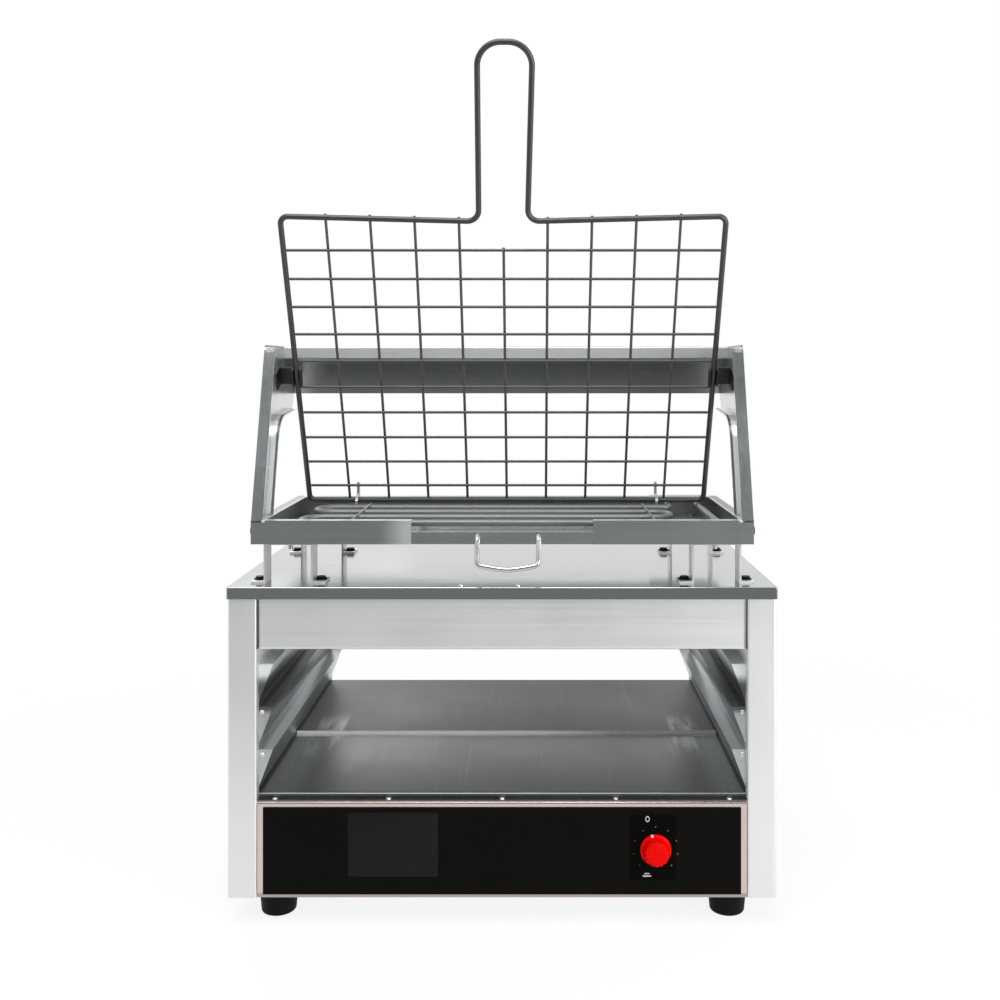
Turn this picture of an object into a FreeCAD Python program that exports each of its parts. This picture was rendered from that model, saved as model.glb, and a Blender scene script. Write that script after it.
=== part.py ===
import FreeCAD, Part
import math
import operator
import os

import Sketcher
from FreeCAD import Placement, Rotation, Vector

# A countertop toaster: an open warming cabinet on rubber feet carries, on four folded stand-offs,
# a shallow toasting tray with side arms, a hood between them and a wire basket hinged at the back.
# X runs to the right, Y away from the user and Z up from the table. Sizes are millimetres and degrees.
# Depths are stated from the front of the cabinet. Every piece is placed about the middle of the footprint.

SIZES = {
    # Cabinet shell
    "cabinet_width": 549,
    "cabinet_depth": 420,
    "cabinet_height": 311,
    "panel_sheet": 1.5,
    "column_width": 29,
    "column_return": 10,
    "bend_radius": 2.5,
    "top_lip_height": 12,
    "header_drop": 63,
    "header_return": 14,
    "header_gap": 3.5,
    "header_inset": 1,
    "top_screw_spacing": 57.5,
    "top_screw_middle": -13,
    "top_screw_depth": 6,
    # Rack sides and floor of the warming bay
    "floor_height": 102,
    "floor_sheet": 1.2,
    "floor_front_inset": 8.5,
    "floor_split_depth": 188,
    "floor_lap": 12,
    "floor_rear_inset": 12,
    "floor_bead_radius": 1.9,
    "floor_clearance": 0.3,
    "floor_toe_front": 1.7,
    "rack_sheet": 1.2,
    "rack_first_ledge": 43,
    "rack_ledge_pitch": 43,
    "rack_ledge_depth": 14,
    "rack_ledge_drop": 37,
    "rack_foot_width": 16,
    # Fascia, base and back of the heater bay
    "fascia_height": 96,
    "fascia_ledge_depth": 16,
    "fascia_border": 6,
    "fascia_lower_border": 3.5,
    "fascia_panel_sheet": 1.5,
    "fascia_screw_inset": 17.5,
    "fascia_screw_depth": 4.8,
    "fascia_screw_head": 2.8,
    "pan_wall_height": 15,
    "vent_width": 4,
    "vent_height": 34,
    "vent_pitch": 14,
    "rear_screw_inset": 14,
    "rear_screw_height": 8,
    # Feet
    "foot_height": 28,
    "foot_top_radius": 19.5,
    "foot_bottom_radius": 17.5,
    "foot_rim_height": 7,
    "foot_inset_x": 43.5,
    "foot_inset_y": 36,
    "foot_screw_recess": 12,
    "foot_screw_radius": 2.5,
    # Thermostat and knob
    "knob_inset": 91.9,
    "knob_height": 48.6,
    "knob_radius": 15.6,
    "knob_grip_radius": 13.4,
    "knob_skirt_height": 3.5,
    "knob_reach": 14,
    "knob_gap": 0.6,
    "shaft_radius": 3,
    "running_clearance": 0.05,
    "thermostat_width": 38,
    "thermostat_tall": 34,
    "thermostat_deep": 26,
    "neck_radius": 5,
    "neck_hole_clearance": 0.3,
    # Cabinet heater
    "heater_radius": 4,
    "heater_height": 46,
    "heater_side_gap": 60.5,
    "heater_front_depth": 115,
    "heater_rear_gap": 83.5,
    "heater_terminal_x": 40,
    "heater_terminal_depth": 62,
    "heater_bend": 24,
    "clip_width": 12,
    "clip_sheet": 2,
    # Stand-offs and their bolts
    "stand_off_height": 41,
    "stand_off_sheet": 2,
    "stand_off_width": 50,
    "stand_off_depth": 25,
    "stand_off_foot": 13,
    "stand_off_inset": 56.5,
    "stand_off_front_y": 31,
    "stand_off_rear_y": 211,
    "bolt_radius": 2.5,
    "bolt_hole_clearance": 0.2,
    "bolt_head_radius": 4.6,
    "bolt_head_height": 3.4,
    "bolt_length": 9,
    "screw_radius": 1.5,
    "screw_hole_clearance": 0.1,
    "screw_length": 5,
    # Toasting tray
    "tray_inset": 22.1,
    "tray_front": 10,
    "tray_depth": 221,
    "tray_height": 24,
    "tray_sheet": 1.2,
    "tray_rim_width": 11,
    # Crumb drawer
    "drawer_width": 184,
    "drawer_front_height": 12,
    "drawer_wall_height": 8.4,
    "drawer_depth": 190,
    "drawer_sheet": 1,
    "drawer_side_inset": 4,
    "drawer_gap": 0.4,
    "drawer_hem": 3,
    "pull_x": 6,
    "pull_half_width": 30.5,
    "pull_wire_radius": 2.5,
    "pull_reach": 24,
    "pull_drop": 26,
    "pull_bow": 5,
    # Toasting element
    "element_radius": 3.5,
    "element_height": 15,
    "element_side_gap": 37.4,
    "element_first_run": 50,
    "element_run_pitch": 42,
    "element_return_inset": 70.4,
    "element_exit_near_inset": 62.4,
    "element_exit_far_inset": 27.4,
    "element_support_inset": 94.4,
    "element_support_sheet": 1.5,
    "bush_radius": 4.6,
    "bush_rim": 0.6,
    "cover_width": 68,
    "cover_depth": 20,
    # Arms and hood
    "arm_sheet": 1.6,
    "arm_angle": 17.7,
    "arm_depth": 56,
    "arm_top": 202.7,
    "arm_front_flange": 10,
    "arm_rear_flange": 8,
    "gusset_tip_y": 195,
    "gusset_tip_height": 131,
    "gusset_bend": 36,
    "hood_front_y": 151,
    "hood_strip": 13,
    "hood_run": 54,
    "hood_angle": 37.5,
    "hood_top_return": 14,
    "hood_sheet": 1.5,
    # Basket: wire sizes, and lengths measured in its own plane from the hinge axis
    "hinge_y": 196,
    "hinge_height": 23,
    "basket_angle": 26.5,
    "basket_side_gap": 20.9,
    "basket_length": 349,
    "basket_corner": 8,
    "rail_dip": 5.5,
    "frame_wire_radius": 3,
    "grid_wire_radius": 1.5,
    "grid_columns": 10,
    "first_cross_wire": 19.5,
    "cross_wire_pitch": 32.4,
    "handle_length": 176,
    "handle_root_half": 25.4,
    "handle_crown_half": 27,
    "handle_crown_shift": 3.7,
    "handle_root_bend": 12,
    "handle_top_bend": 23,
    "weld_gap": 0.05,
    # Hinge lugs and rest clips
    "lug_inset": 55.5,
    "lug_sheet": 3,
    "lug_eye_wall": 3.6,
    "lug_clearance": 0.08,
    "lug_tongue_height": 43,
    "lug_tongue_depth": 6,
    "rest_clip_sheet": 1.6,
    "rest_clip_gap": 0.3,
    "rest_clip_length": 20,
    "rest_clip_along": 161.8,
    "rest_clip_mouth": 3.6,
    "rest_clip_flange": 12,
    # Glands
    "gland_radius": 9,
    "gland_bore": 4,
    "gland_reach": 14,
    "gland_inset": 94.5,
    "gland_height": 30,
}

CROSS_WIRES = 10
LONG_WIRE_PAIRS = 4
RACK_LEDGES = 3
VENTS = 12
FASCIA_SCREWS = 5
KNOB_FLUTES = 14

# Shares of a named size
NECK_SHARE = 0.66
EDGE_ROUND_SHARE = 0.8
HEAD_EDGE_SHARE = 0.6
PAN_HOLE_SHARE = 0.4
SLOT_END_SHARE = 0.45
SKIRT_EDGE_SHARE = 0.4
TERMINAL_HALF_SHARE = 0.6
NUT_SHARE = 0.85
NUT_RISE_SHARE = 0.3
ARM_BOLT_SHARES = (0.25, 0.75)
PULL_BEND_SHARE = 2.4
LUG_EDGE_SHARE = 0.4
WIRE_OVERLAP_SHARE = 0.8
HOOD_BOLT_RUN_SHARE = 0.65
HOOD_BOLT_INSET_SHARE = 0.7

doc = FreeCAD.newDocument("CountertopToaster")
sheet = doc.addObject("Spreadsheet::Sheet", "Sizes")
for row, (alias, number) in enumerate(SIZES.items(), start=1):
    sheet.set(f"A{row}", alias)
    sheet.set(f"B{row}", str(number))
    sheet.setAlias(f"B{row}", alias)
doc.recompute()

OPERATIONS = {"+": operator.add, "-": operator.sub, "*": operator.mul, "/": operator.truediv}


class Size:
    """A dimension: its number, and the sheet expression that gives the same number."""

    def __init__(self, number, text):
        self.number = number
        self.text = text

    def __add__(self, other):
        return combined(self, "+", other)

    def __radd__(self, other):
        return combined(other, "+", self)

    def __sub__(self, other):
        return combined(self, "-", other)

    def __rsub__(self, other):
        return combined(other, "-", self)

    def __mul__(self, other):
        return combined(self, "*", other)

    def __rmul__(self, other):
        return combined(other, "*", self)

    def __truediv__(self, other):
        return combined(self, "/", other)

    def __neg__(self):
        return combined(-1, "*", self)


def as_size(value):
    return value if isinstance(value, Size) else Size(float(value), f"({value})")


def combined(first, sign, second):
    first = as_size(first)
    second = as_size(second)
    return Size(OPERATIONS[sign](first.number, second.number), f"({first.text} {sign} {second.text})")


def sine(angle):
    return Size(math.sin(math.radians(angle.number)), f"sin({angle.text})")


def cosine(angle):
    return Size(math.cos(math.radians(angle.number)), f"cos({angle.text})")


def tangent(angle):
    return Size(math.tan(math.radians(angle.number)), f"tan({angle.text})")


class Sheet:
    """Gives each named size of the spreadsheet as a Size."""

    def __getattr__(self, name):
        return Size(float(sheet.get(name)), f"Sizes.{name}")


s = Sheet()

# Levels and faces that several pieces share
half_width = s.cabinet_width / 2
bay_half = half_width - s.column_width
underside = s.foot_height
top_face = s.foot_height + s.cabinet_height
top_under = top_face - s.panel_sheet
header_edge = top_face - s.header_drop
floor_top = s.foot_height + s.floor_height
floor_under = floor_top - s.floor_sheet
ledge_face = s.foot_height + s.fascia_height
fascia_back = s.panel_sheet + s.panel_sheet
tray_base = top_face + s.stand_off_height
tray_floor = tray_base + s.tray_sheet
rim_face = tray_base + s.tray_height
tray_half = half_width - s.tray_inset
tray_rear = s.tray_front + s.tray_depth
arm_front = s.tray_front + s.tray_sheet
arm_crown = tray_base + s.arm_top
hinge_z = tray_base + s.hinge_height
side_wire_x = tray_half - s.basket_side_gap
wire_reach = s.basket_length + s.handle_length
bolt_hole = s.bolt_radius + s.bolt_hole_clearance
screw_hole = s.screw_radius + s.screw_hole_clearance
rear_skin = s.cabinet_depth - s.panel_sheet
knob_x = bay_half - s.knob_inset
heater_half = bay_half - s.heater_side_gap
heater_rear = rear_skin - s.heater_rear_gap
stand_off_x = half_width - s.stand_off_inset
element_half = tray_half - s.element_side_gap
element_return = tray_half - s.element_return_inset
element_exit_near = tray_half - s.element_exit_near_inset
element_exit_far = tray_half - s.element_exit_far_inset
element_support_x = tray_half - s.element_support_inset
lug_x = side_wire_x - s.lug_inset
gland_x = half_width - s.gland_inset

gland_neck = s.gland_radius * NECK_SHARE

# The footprint's middle, halfway between the basket handle's crown and the gland at the back
front_reach = s.hinge_y - wire_reach * sine(s.basket_angle) - s.frame_wire_radius
rear_reach = rear_skin + s.gland_reach
middle_y = (front_reach + rear_reach) / 2

nodes = {}


# Tools for sketches and features

def bind(item, path, size):
    item.setExpression(path, as_size(size).text)


def place(item, x=0, y=0, z=0, turn=0):
    """Sets a piece at x, y, z in the cabinet's frame, turned about the X direction."""
    item.Placement = Placement(Vector(0, 0, 0), Rotation(Vector(1, 0, 0), as_size(turn).number or 1))
    bind(item, "Placement.Rotation.Angle", turn)
    bind(item, "Placement.Base.x", x)
    bind(item, "Placement.Base.y", y - middle_y)
    bind(item, "Placement.Base.z", z)


def new_body(name, **where):
    body = doc.addObject("PartDesign::Body", name)
    body.Label = name
    place(body, **where)
    nodes[name] = body
    return body


def origin_feature(body, role):
    return next(item for item in body.Origin.OriginFeatures if item.Role == role)


def new_sketch(body, name, plane, offset=0):
    sketch = body.newObject("Sketcher::SketchObject", name)
    sketch.AttachmentSupport = [(origin_feature(body, plane + "_Plane"), "")]
    sketch.MapMode = "FlatFace"
    bind(sketch, "AttachmentOffset.Base.z", offset)
    sketch.AttachmentOffset = Placement(Vector(0, 0, as_size(offset).number), Rotation())
    return sketch


def add_constraints(sketch, plain, sized):
    """Adds plain constraints, then sized ones given as (constraint, size)."""
    if plain:
        sketch.addConstraint(plain)
    start = sketch.ConstraintCount
    if sized:
        sketch.addConstraint([constraint for constraint, size in sized])
    for index, (constraint, size) in enumerate(sized, start=start):
        bind(sketch, f"Constraints[{index}]", size)


def pin(geometry, point, x, y, plain, sized):
    """Holds one point of the sketch at x, y from the sketch's origin."""
    for kind, axis, value in (("DistanceX", -2, x), ("DistanceY", -1, y)):
        if isinstance(value, Size):
            sized.append((Sketcher.Constraint(kind, -1, 1, geometry, point, value.number), value))
        elif value == 0:
            plain.append(Sketcher.Constraint("PointOnObject", geometry, point, axis))
        else:
            sized.append((Sketcher.Constraint(kind, -1, 1, geometry, point, float(value)), as_size(value)))


def bend_points(before, corner, after, radius):
    """Where an arc of this radius leaves and meets the two edges of a corner, with its centre."""
    back = (before - corner).normalize()
    ahead = (after - corner).normalize()
    half = back.getAngle(ahead) / 2
    reach = radius / math.tan(half)
    centre = corner + (back + ahead).normalize() * (radius / math.sin(half))
    return corner + back * reach, corner + ahead * reach, centre


def draw(sketch, corners, closed=True):
    """Draws straight edges through corners (x, y), with a tangent arc at each corner (x, y, radius)."""
    points = [Vector(as_size(c[0]).number, as_size(c[1]).number, 0) for c in corners]
    count = len(corners)
    bends = {}
    for index, corner in enumerate(corners):
        if len(corner) == 3:
            before = points[index - 1]
            after = points[(index + 1) % count]
            bends[index] = bend_points(before, points[index], after, as_size(corner[2]).number)
    edges = count if closed else count - 1
    first = sketch.GeometryCount
    geometry = []
    for index in range(edges):
        following = (index + 1) % count
        start = bends[index][1] if index in bends else points[index]
        end = bends[following][0] if following in bends else points[following]
        geometry.append(Part.LineSegment(start, end))
    sketch.addGeometry(geometry, False)
    plain = []
    sized = []
    for index, corner in enumerate(corners):
        arriving = first + (index - 1) % edges
        leaving = first + index % edges
        inner = closed or 0 < index < count - 1
        if index in bends:
            radius = as_size(corner[2])
            enter, leave, centre = bends[index]
            start_angle = math.atan2(enter.y - centre.y, enter.x - centre.x)
            end_angle = math.atan2(leave.y - centre.y, leave.x - centre.x)
            turns_left = (enter - centre).cross(leave - centre).z > 0
            if not turns_left:
                start_angle, end_angle = end_angle, start_angle
            if end_angle < start_angle:
                end_angle += 2 * math.pi
            circle = Part.Circle(centre, Vector(0, 0, 1), radius.number)
            arc = sketch.addGeometry(Part.ArcOfCircle(circle, start_angle, end_angle), False)
            mark = sketch.addGeometry(Part.Point(points[index]), True)
            near, far = (1, 2) if turns_left else (2, 1)
            plain.append(Sketcher.Constraint("Tangent", arriving, 2, arc, near))
            plain.append(Sketcher.Constraint("Tangent", arc, far, leaving, 1))
            plain.append(Sketcher.Constraint("PointOnObject", mark, 1, arriving))
            plain.append(Sketcher.Constraint("PointOnObject", mark, 1, leaving))
            sized.append((Sketcher.Constraint("Radius", arc, radius.number), radius))
            pin(mark, 1, corner[0], corner[1], plain, sized)
        elif inner:
            plain.append(Sketcher.Constraint("Coincident", arriving, 2, leaving, 1))
            pin(leaving, 1, corner[0], corner[1], plain, sized)
        elif index == 0:
            pin(first, 1, corner[0], corner[1], plain, sized)
        else:
            pin(first + edges - 1, 2, corner[0], corner[1], plain, sized)
    add_constraints(sketch, plain, sized)


def draw_circle(sketch, x, y, radius):
    plain = []
    sized = []
    centre = Vector(as_size(x).number, as_size(y).number, 0)
    radius = as_size(radius)
    circle = sketch.addGeometry(Part.Circle(centre, Vector(0, 0, 1), radius.number), False)
    pin(circle, 3, x, y, plain, sized)
    sized.append((Sketcher.Constraint("Radius", circle, radius.number), radius))
    add_constraints(sketch, plain, sized)


def filled_sketch(body, name, plane, offset, outlines, circles):
    sketch = new_sketch(body, name + "Sketch", plane, offset)
    for corners in outlines:
        draw(sketch, corners)
    for circle in circles:
        draw_circle(sketch, *circle)
    return sketch


def slab(body, name, plane, low, high, outlines=(), circles=()):
    """Pads closed outlines from low to high along the direction square to the plane."""
    offset = -high if plane == "XZ" else low
    sketch = filled_sketch(body, name, plane, offset, outlines, circles)
    feature = body.newObject("PartDesign::Pad", name)
    feature.Profile = sketch
    bind(feature, "Length", high - low)
    return feature


def cut(body, name, plane, low, high, outlines=(), circles=()):
    """Pockets closed outlines from low to high along the direction square to the plane."""
    offset = -low if plane == "XZ" else high
    sketch = filled_sketch(body, name, plane, offset, outlines, circles)
    feature = body.newObject("PartDesign::Pocket", name)
    feature.Profile = sketch
    bind(feature, "Length", high - low)
    return feature


def turned(body, name, profile):
    """Revolves a closed profile of (radius, height) corners about the body's own Z direction."""
    sketch = new_sketch(body, name + "Sketch", "XZ")
    draw(sketch, profile)
    feature = body.newObject("PartDesign::Revolution", name)
    feature.Profile = sketch
    feature.ReferenceAxis = (sketch, ["V_Axis"])
    feature.Angle = 360
    return feature


def piped(body, name, path_plane, path_offset, corners, closed, end_plane, end_offset, end_x, end_y, radius):
    """Runs a round wire along a path of straight runs and bends."""
    path = new_sketch(body, name + "Path", path_plane, path_offset)
    draw(path, corners, closed)
    end = new_sketch(body, name + "End", end_plane, end_offset)
    draw_circle(end, end_x, end_y, radius)
    doc.recompute()
    feature = body.newObject("PartDesign::AdditivePipe", name)
    feature.Profile = end
    feature.Spine = (path, [f"Edge{number}" for number in range(1, len(path.Shape.Edges) + 1)])
    return feature


def row_of(body, name, feature, role, spacing, count):
    """Repeats a feature along one of the body's axes."""
    pattern = body.newObject("PartDesign::LinearPattern", name)
    pattern.Originals = [feature]
    pattern.Direction = (origin_feature(body, role + "_Axis"), [""])
    pattern.Mode = "Extent"
    bind(pattern, "Length", spacing * (count - 1))
    pattern.Occurrences = count
    body.Tip = pattern
    return pattern


def rectangle(x_low, x_high, y_low, y_high, radius=None):
    corners = [(x_low, y_low), (x_high, y_low), (x_high, y_high), (x_low, y_high)]
    return corners if radius is None else [corner + (radius,) for corner in corners]


def channel(x_low, x_high, y_open, y_closed, thick):
    """The outline of a sheet folded round three sides, open at y_open."""
    return [(x_low, y_open), (x_low + thick, y_open), (x_low + thick, y_closed - thick),
            (x_high - thick, y_closed - thick), (x_high - thick, y_open), (x_high, y_open),
            (x_high, y_closed), (x_low, y_closed)]


def world(x, y, z):
    """A point of the cabinet's frame, as numbers, in the frame of the finished assembly."""
    return Vector(as_size(x).number, (y - middle_y).number, as_size(z).number)


def group(name, solid, places):
    """One node that holds the same fastener at each place, given as a Placement."""
    copies = []
    for where in places:
        copy = solid.copy()
        copy.Placement = where
        copies.append(copy)
    feature = doc.addObject("Part::Feature", name)
    feature.Label = name
    feature.Shape = Part.makeCompound(copies)
    nodes[name] = feature
    return feature


def fastener(name, head_radius, head_height, shank_radius, length, sides=0):
    """A screw or bolt that stands head up, with the underside of its head at the origin."""
    body = doc.addObject("PartDesign::Body", name)
    if sides:
        corners = []
        for number in range(sides):
            turn = math.radians(360 / sides * number)
            corners.append((head_radius * math.cos(turn), head_radius * math.sin(turn)))
        slab(body, name + "Head", "XY", as_size(0), head_height, [corners])
    else:
        crown = [(0, 0), (head_radius, 0), (head_radius, head_height, head_height * HEAD_EDGE_SHARE), (0, head_height)]
        turned(body, name + "Head", crown)
    slab(body, name + "Shank", "XY", -length, as_size(0), circles=[(0, 0, shank_radius)])
    doc.recompute()
    return body.Shape


# Cabinet

def side_panel(name, side):
    body = new_body(name)
    outer = side * half_width
    inner = side * bay_half
    skin = side * (half_width - s.panel_sheet)
    fold = side * (bay_half + s.panel_sheet)
    rear = s.cabinet_depth
    sheet_y = s.panel_sheet
    corners = [
        (outer, as_size(0), s.bend_radius),
        (inner, as_size(0), s.bend_radius),
        (inner, s.column_return),
        (fold, s.column_return),
        (fold, sheet_y),
        (skin, sheet_y),
        (skin, rear - sheet_y),
        (fold, rear - sheet_y),
        (fold, rear - s.column_return),
        (inner, rear - s.column_return),
        (inner, rear, s.bend_radius),
        (outer, rear, s.bend_radius),
    ]
    slab(body, name + "Fold", "XY", underside, top_under, [corners])


def rack_liner(name, side):
    """A folded side with saw-tooth ledges that carry trays, and a foot that carries the floor."""
    body = new_body(name)
    ledges = [floor_top + s.rack_first_ledge + s.rack_ledge_pitch * number for number in range(RACK_LEDGES)]
    front = []
    back = []
    for level in reversed(ledges):
        tip = bay_half - s.rack_ledge_depth
        for x, z in ((bay_half, level), (tip, level), (bay_half, level - s.rack_ledge_drop)):
            front.append((side * x, z))
            back.append((side * (x + s.rack_sheet), z - s.rack_sheet))
    corners = [(side * bay_half, top_under)] + front
    corners += [
        (side * bay_half, floor_under),
        (side * (bay_half - s.rack_foot_width), floor_under),
        (side * (bay_half - s.rack_foot_width), floor_under - s.rack_sheet),
        (side * (bay_half + s.rack_sheet), floor_under - s.rack_sheet),
    ]
    corners += list(reversed(back)) + [(side * (bay_half + s.rack_sheet), top_under)]
    gap = s.floor_clearance
    slab(body, name + "Fold", "XZ", s.column_return + gap, s.cabinet_depth - s.column_return - gap, [corners])


def top_plate():
    body = new_body("top_plate")
    sheet_y = s.panel_sheet
    outer = half_width + sheet_y
    radius = s.bend_radius
    whole = rectangle(-outer, outer, -sheet_y, s.cabinet_depth + sheet_y, radius)
    inside = rectangle(-half_width, half_width, as_size(0), s.cabinet_depth)
    slab(body, "TopSheet", "XY", top_under, top_face, [whole])
    slab(body, "TopLip", "XY", top_face - s.top_lip_height, top_under, [whole, inside])
    holes = [(x, y, bolt_hole) for x, y in foot_bolt_places()]
    holes += [(x, s.top_screw_depth, screw_hole) for x in top_screw_places()]
    cut(body, "TopHoles", "XY", top_under, top_face, circles=holes)
    round_over(body, "TopRound", s.panel_sheet * EDGE_ROUND_SHARE, long_top_edges)


def long_top_edges(edge):
    """The straight edges around the upper face of the top plate."""
    box = edge.BoundBox
    level = top_face.number
    return abs(box.ZMin - level) < 0.01 and abs(box.ZMax - level) < 0.01 and edge.Length > s.column_width.number


def round_over(body, name, radius, wanted):
    """Rounds the edges of the body's last feature that the test picks out."""
    doc.recompute()
    base = body.Tip
    names = [f"Edge{number}" for number, edge in enumerate(base.Shape.Edges, start=1) if wanted(edge)]
    if not names:
        raise RuntimeError(f"{body.Label} has no edge to round")
    feature = body.newObject("PartDesign::Fillet", name)
    feature.Base = (base, names)
    bind(feature, "Radius", radius)
    return feature


def header(name, front):
    """A band below the top plate; front is True for the user's side."""
    body = new_body(name)
    inset = s.header_inset
    sheet_y = s.panel_sheet
    back = inset + s.header_return
    profile = [
        (inset, top_under, s.bend_radius),
        (inset, header_edge, s.bend_radius),
        (back, header_edge),
        (back, header_edge + sheet_y),
        (inset + sheet_y, header_edge + sheet_y),
        (inset + sheet_y, top_under - sheet_y),
        (back, top_under - sheet_y),
        (back, top_under),
    ]
    if not front:
        profile = [(s.cabinet_depth - corner[0],) + corner[1:] for corner in profile]
    half = bay_half - s.header_gap
    slab(body, name + "Fold", "YZ", -half, half, [profile])
    if front:
        cut(body, name + "Holes", "XY", top_under - sheet_y, top_under, circles=[
            (x, s.top_screw_depth, screw_hole) for x in top_screw_places()])


def top_screw_places():
    return [s.top_screw_middle - s.top_screw_spacing / 2, s.top_screw_middle + s.top_screw_spacing / 2]


def bottom_pan():
    body = new_body("bottom_pan")
    sheet_y = s.panel_sheet
    half = half_width - sheet_y
    inner_half = half - sheet_y
    column_clear = bay_half - s.floor_clearance
    front = fascia_back
    rear = s.cabinet_depth - fascia_back
    slab(body, "PanSheet", "XY", underside, underside + sheet_y, [rectangle(-half, half, front, rear)],
         [(x, y, bolt_hole) for x, y in foot_places()])
    wall_top = underside + s.pan_wall_height
    inside = rectangle(-inner_half, inner_half, front + sheet_y, rear - sheet_y)
    slab(body, "PanWall", "XY", underside + sheet_y, wall_top, [rectangle(-half, half, front, rear), inside])
    corners = []
    fold_depth = s.column_return + s.floor_clearance
    for side in (-1, 1):
        for low, high in ((front, fold_depth), (s.cabinet_depth - fold_depth, rear)):
            corners.append(rectangle(side * (bay_half - s.floor_clearance),
                                     side * (bay_half + sheet_y + s.floor_clearance), low, high))
    cut(body, "PanNotches", "XY", underside, wall_top, corners)
    cut(body, "PanScrewHoles", "XZ", rear - sheet_y, rear,
        circles=[(x, z, screw_hole) for x, z in rear_screw_places()])


def foot_places():
    x = half_width - s.foot_inset_x
    return [(-x, s.foot_inset_y), (x, s.foot_inset_y),
            (-x, s.cabinet_depth - s.foot_inset_y), (x, s.cabinet_depth - s.foot_inset_y)]


def floor_plates():
    top = floor_top
    sheet_z = s.floor_sheet
    front = s.floor_front_inset
    lap_end = s.floor_split_depth + s.floor_lap
    half = bay_half - s.floor_clearance
    body = new_body("front_floor_plate")
    profile = [
        (s.floor_toe_front, ledge_face),
        (s.floor_toe_front, ledge_face + sheet_z),
        (front, ledge_face + sheet_z),
        (front, top, s.bend_radius),
        (lap_end, top),
        (lap_end, top - sheet_z),
        (front + sheet_z, top - sheet_z),
        (front + sheet_z, ledge_face),
    ]
    slab(body, "FrontFloorFold", "YZ", -half, half, [profile])
    cut(body, "FrontFloorHoles", "XY", ledge_face, ledge_face + sheet_z,
        circles=[(x, s.fascia_screw_depth, screw_hole) for x in fascia_screw_places()])

    body = new_body("rear_floor_plate")
    rear = s.cabinet_depth - s.floor_rear_inset
    start = s.floor_split_depth
    slab(body, "RearFloorSheet", "XY", top, top + sheet_z, [rectangle(-half, half, start, rear)])
    bead = s.floor_bead_radius
    slab(body, "RearFloorBead", "YZ", -half, half, circles=[(start, top + bead, bead)])
    hem_start = lap_end + s.floor_clearance
    inner = half - sheet_z
    hem = [(-half, hem_start), (-inner, hem_start), (-inner, rear - sheet_z), (inner, rear - sheet_z),
           (inner, hem_start), (half, hem_start), (half, rear), (-half, rear)]
    slab(body, "RearFloorHem", "XY", floor_under, top, [hem])


def fascia_screw_places():
    first = (FASCIA_SCREWS - 1) / 2
    pitch = (bay_half - s.fascia_screw_inset) / first
    return [pitch * (number - first) for number in range(FASCIA_SCREWS)]


def fascia():
    body = new_body("fascia_frame")
    low = s.panel_sheet
    ledge = low + s.fascia_ledge_depth
    half = bay_half - s.floor_clearance
    profile = [
        (low, underside),
        (low, ledge_face, s.bend_radius),
        (ledge, ledge_face),
        (ledge, ledge_face - low),
        (fascia_back, ledge_face - low),
        (fascia_back, underside),
    ]
    slab(body, "FasciaFold", "YZ", -half, half, [profile])
    knob_hole = (knob_x, underside + s.knob_height, s.neck_radius + s.neck_hole_clearance)
    cut(body, "FasciaHole", "XZ", low, fascia_back, circles=[knob_hole])
    cut(body, "LedgeHoles", "XY", ledge_face - low, ledge_face,
        circles=[(x, s.fascia_screw_depth, screw_hole) for x in fascia_screw_places()])

    body = new_body("fascia_panel")
    border = s.fascia_border
    panel = rectangle(-half + border, half - border, underside + s.fascia_lower_border, ledge_face - border)
    front = low - s.fascia_panel_sheet
    slab(body, "PanelSheet", "XZ", front, low, [panel], [knob_hole])


def rear_screw_places():
    outer = bay_half - s.rear_screw_inset
    level = underside + s.rear_screw_height
    return [(outer * share, level) for share in (-1, -PAN_HOLE_SHARE, PAN_HOLE_SHARE, 1)]


def rear_panel():
    body = new_body("rear_panel")
    half = bay_half - s.floor_clearance
    low = s.cabinet_depth - fascia_back
    high = rear_skin
    top = floor_under - s.rack_sheet
    holes = [(gland_x, underside + s.gland_height, gland_neck + s.bolt_hole_clearance)]
    holes += [(x, z, screw_hole) for x, z in rear_screw_places()]
    slab(body, "RearSheet", "XZ", low, high, [rectangle(-half, half, underside, top)], holes)
    first = -s.vent_pitch * (VENTS - 1) / 2
    vent_low = underside + s.pan_wall_height + s.vent_pitch
    slot = rectangle(first - s.vent_width / 2, first + s.vent_width / 2, vent_low, vent_low + s.vent_height,
                     s.vent_width * SLOT_END_SHARE)
    slot_cut = cut(body, "VentSlot", "XZ", low, high, [slot])
    row_of(body, "VentRow", slot_cut, "X", s.vent_pitch, VENTS)


def foot(name, x, y):
    body = new_body(name, x=x, y=y)
    tall = s.foot_height
    recess = s.foot_screw_recess
    wide = s.foot_bottom_radius / 2
    profile = [
        (bolt_hole, recess),
        (bolt_hole, tall),
        (s.foot_top_radius, tall),
        (s.foot_top_radius, tall - s.foot_rim_height, s.bend_radius),
        (s.foot_bottom_radius, as_size(0), s.bend_radius),
        (wide, as_size(0)),
        (wide, recess),
    ]
    turned(body, name + "Turn", profile)


# Controls and heating in the heater bay

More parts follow.
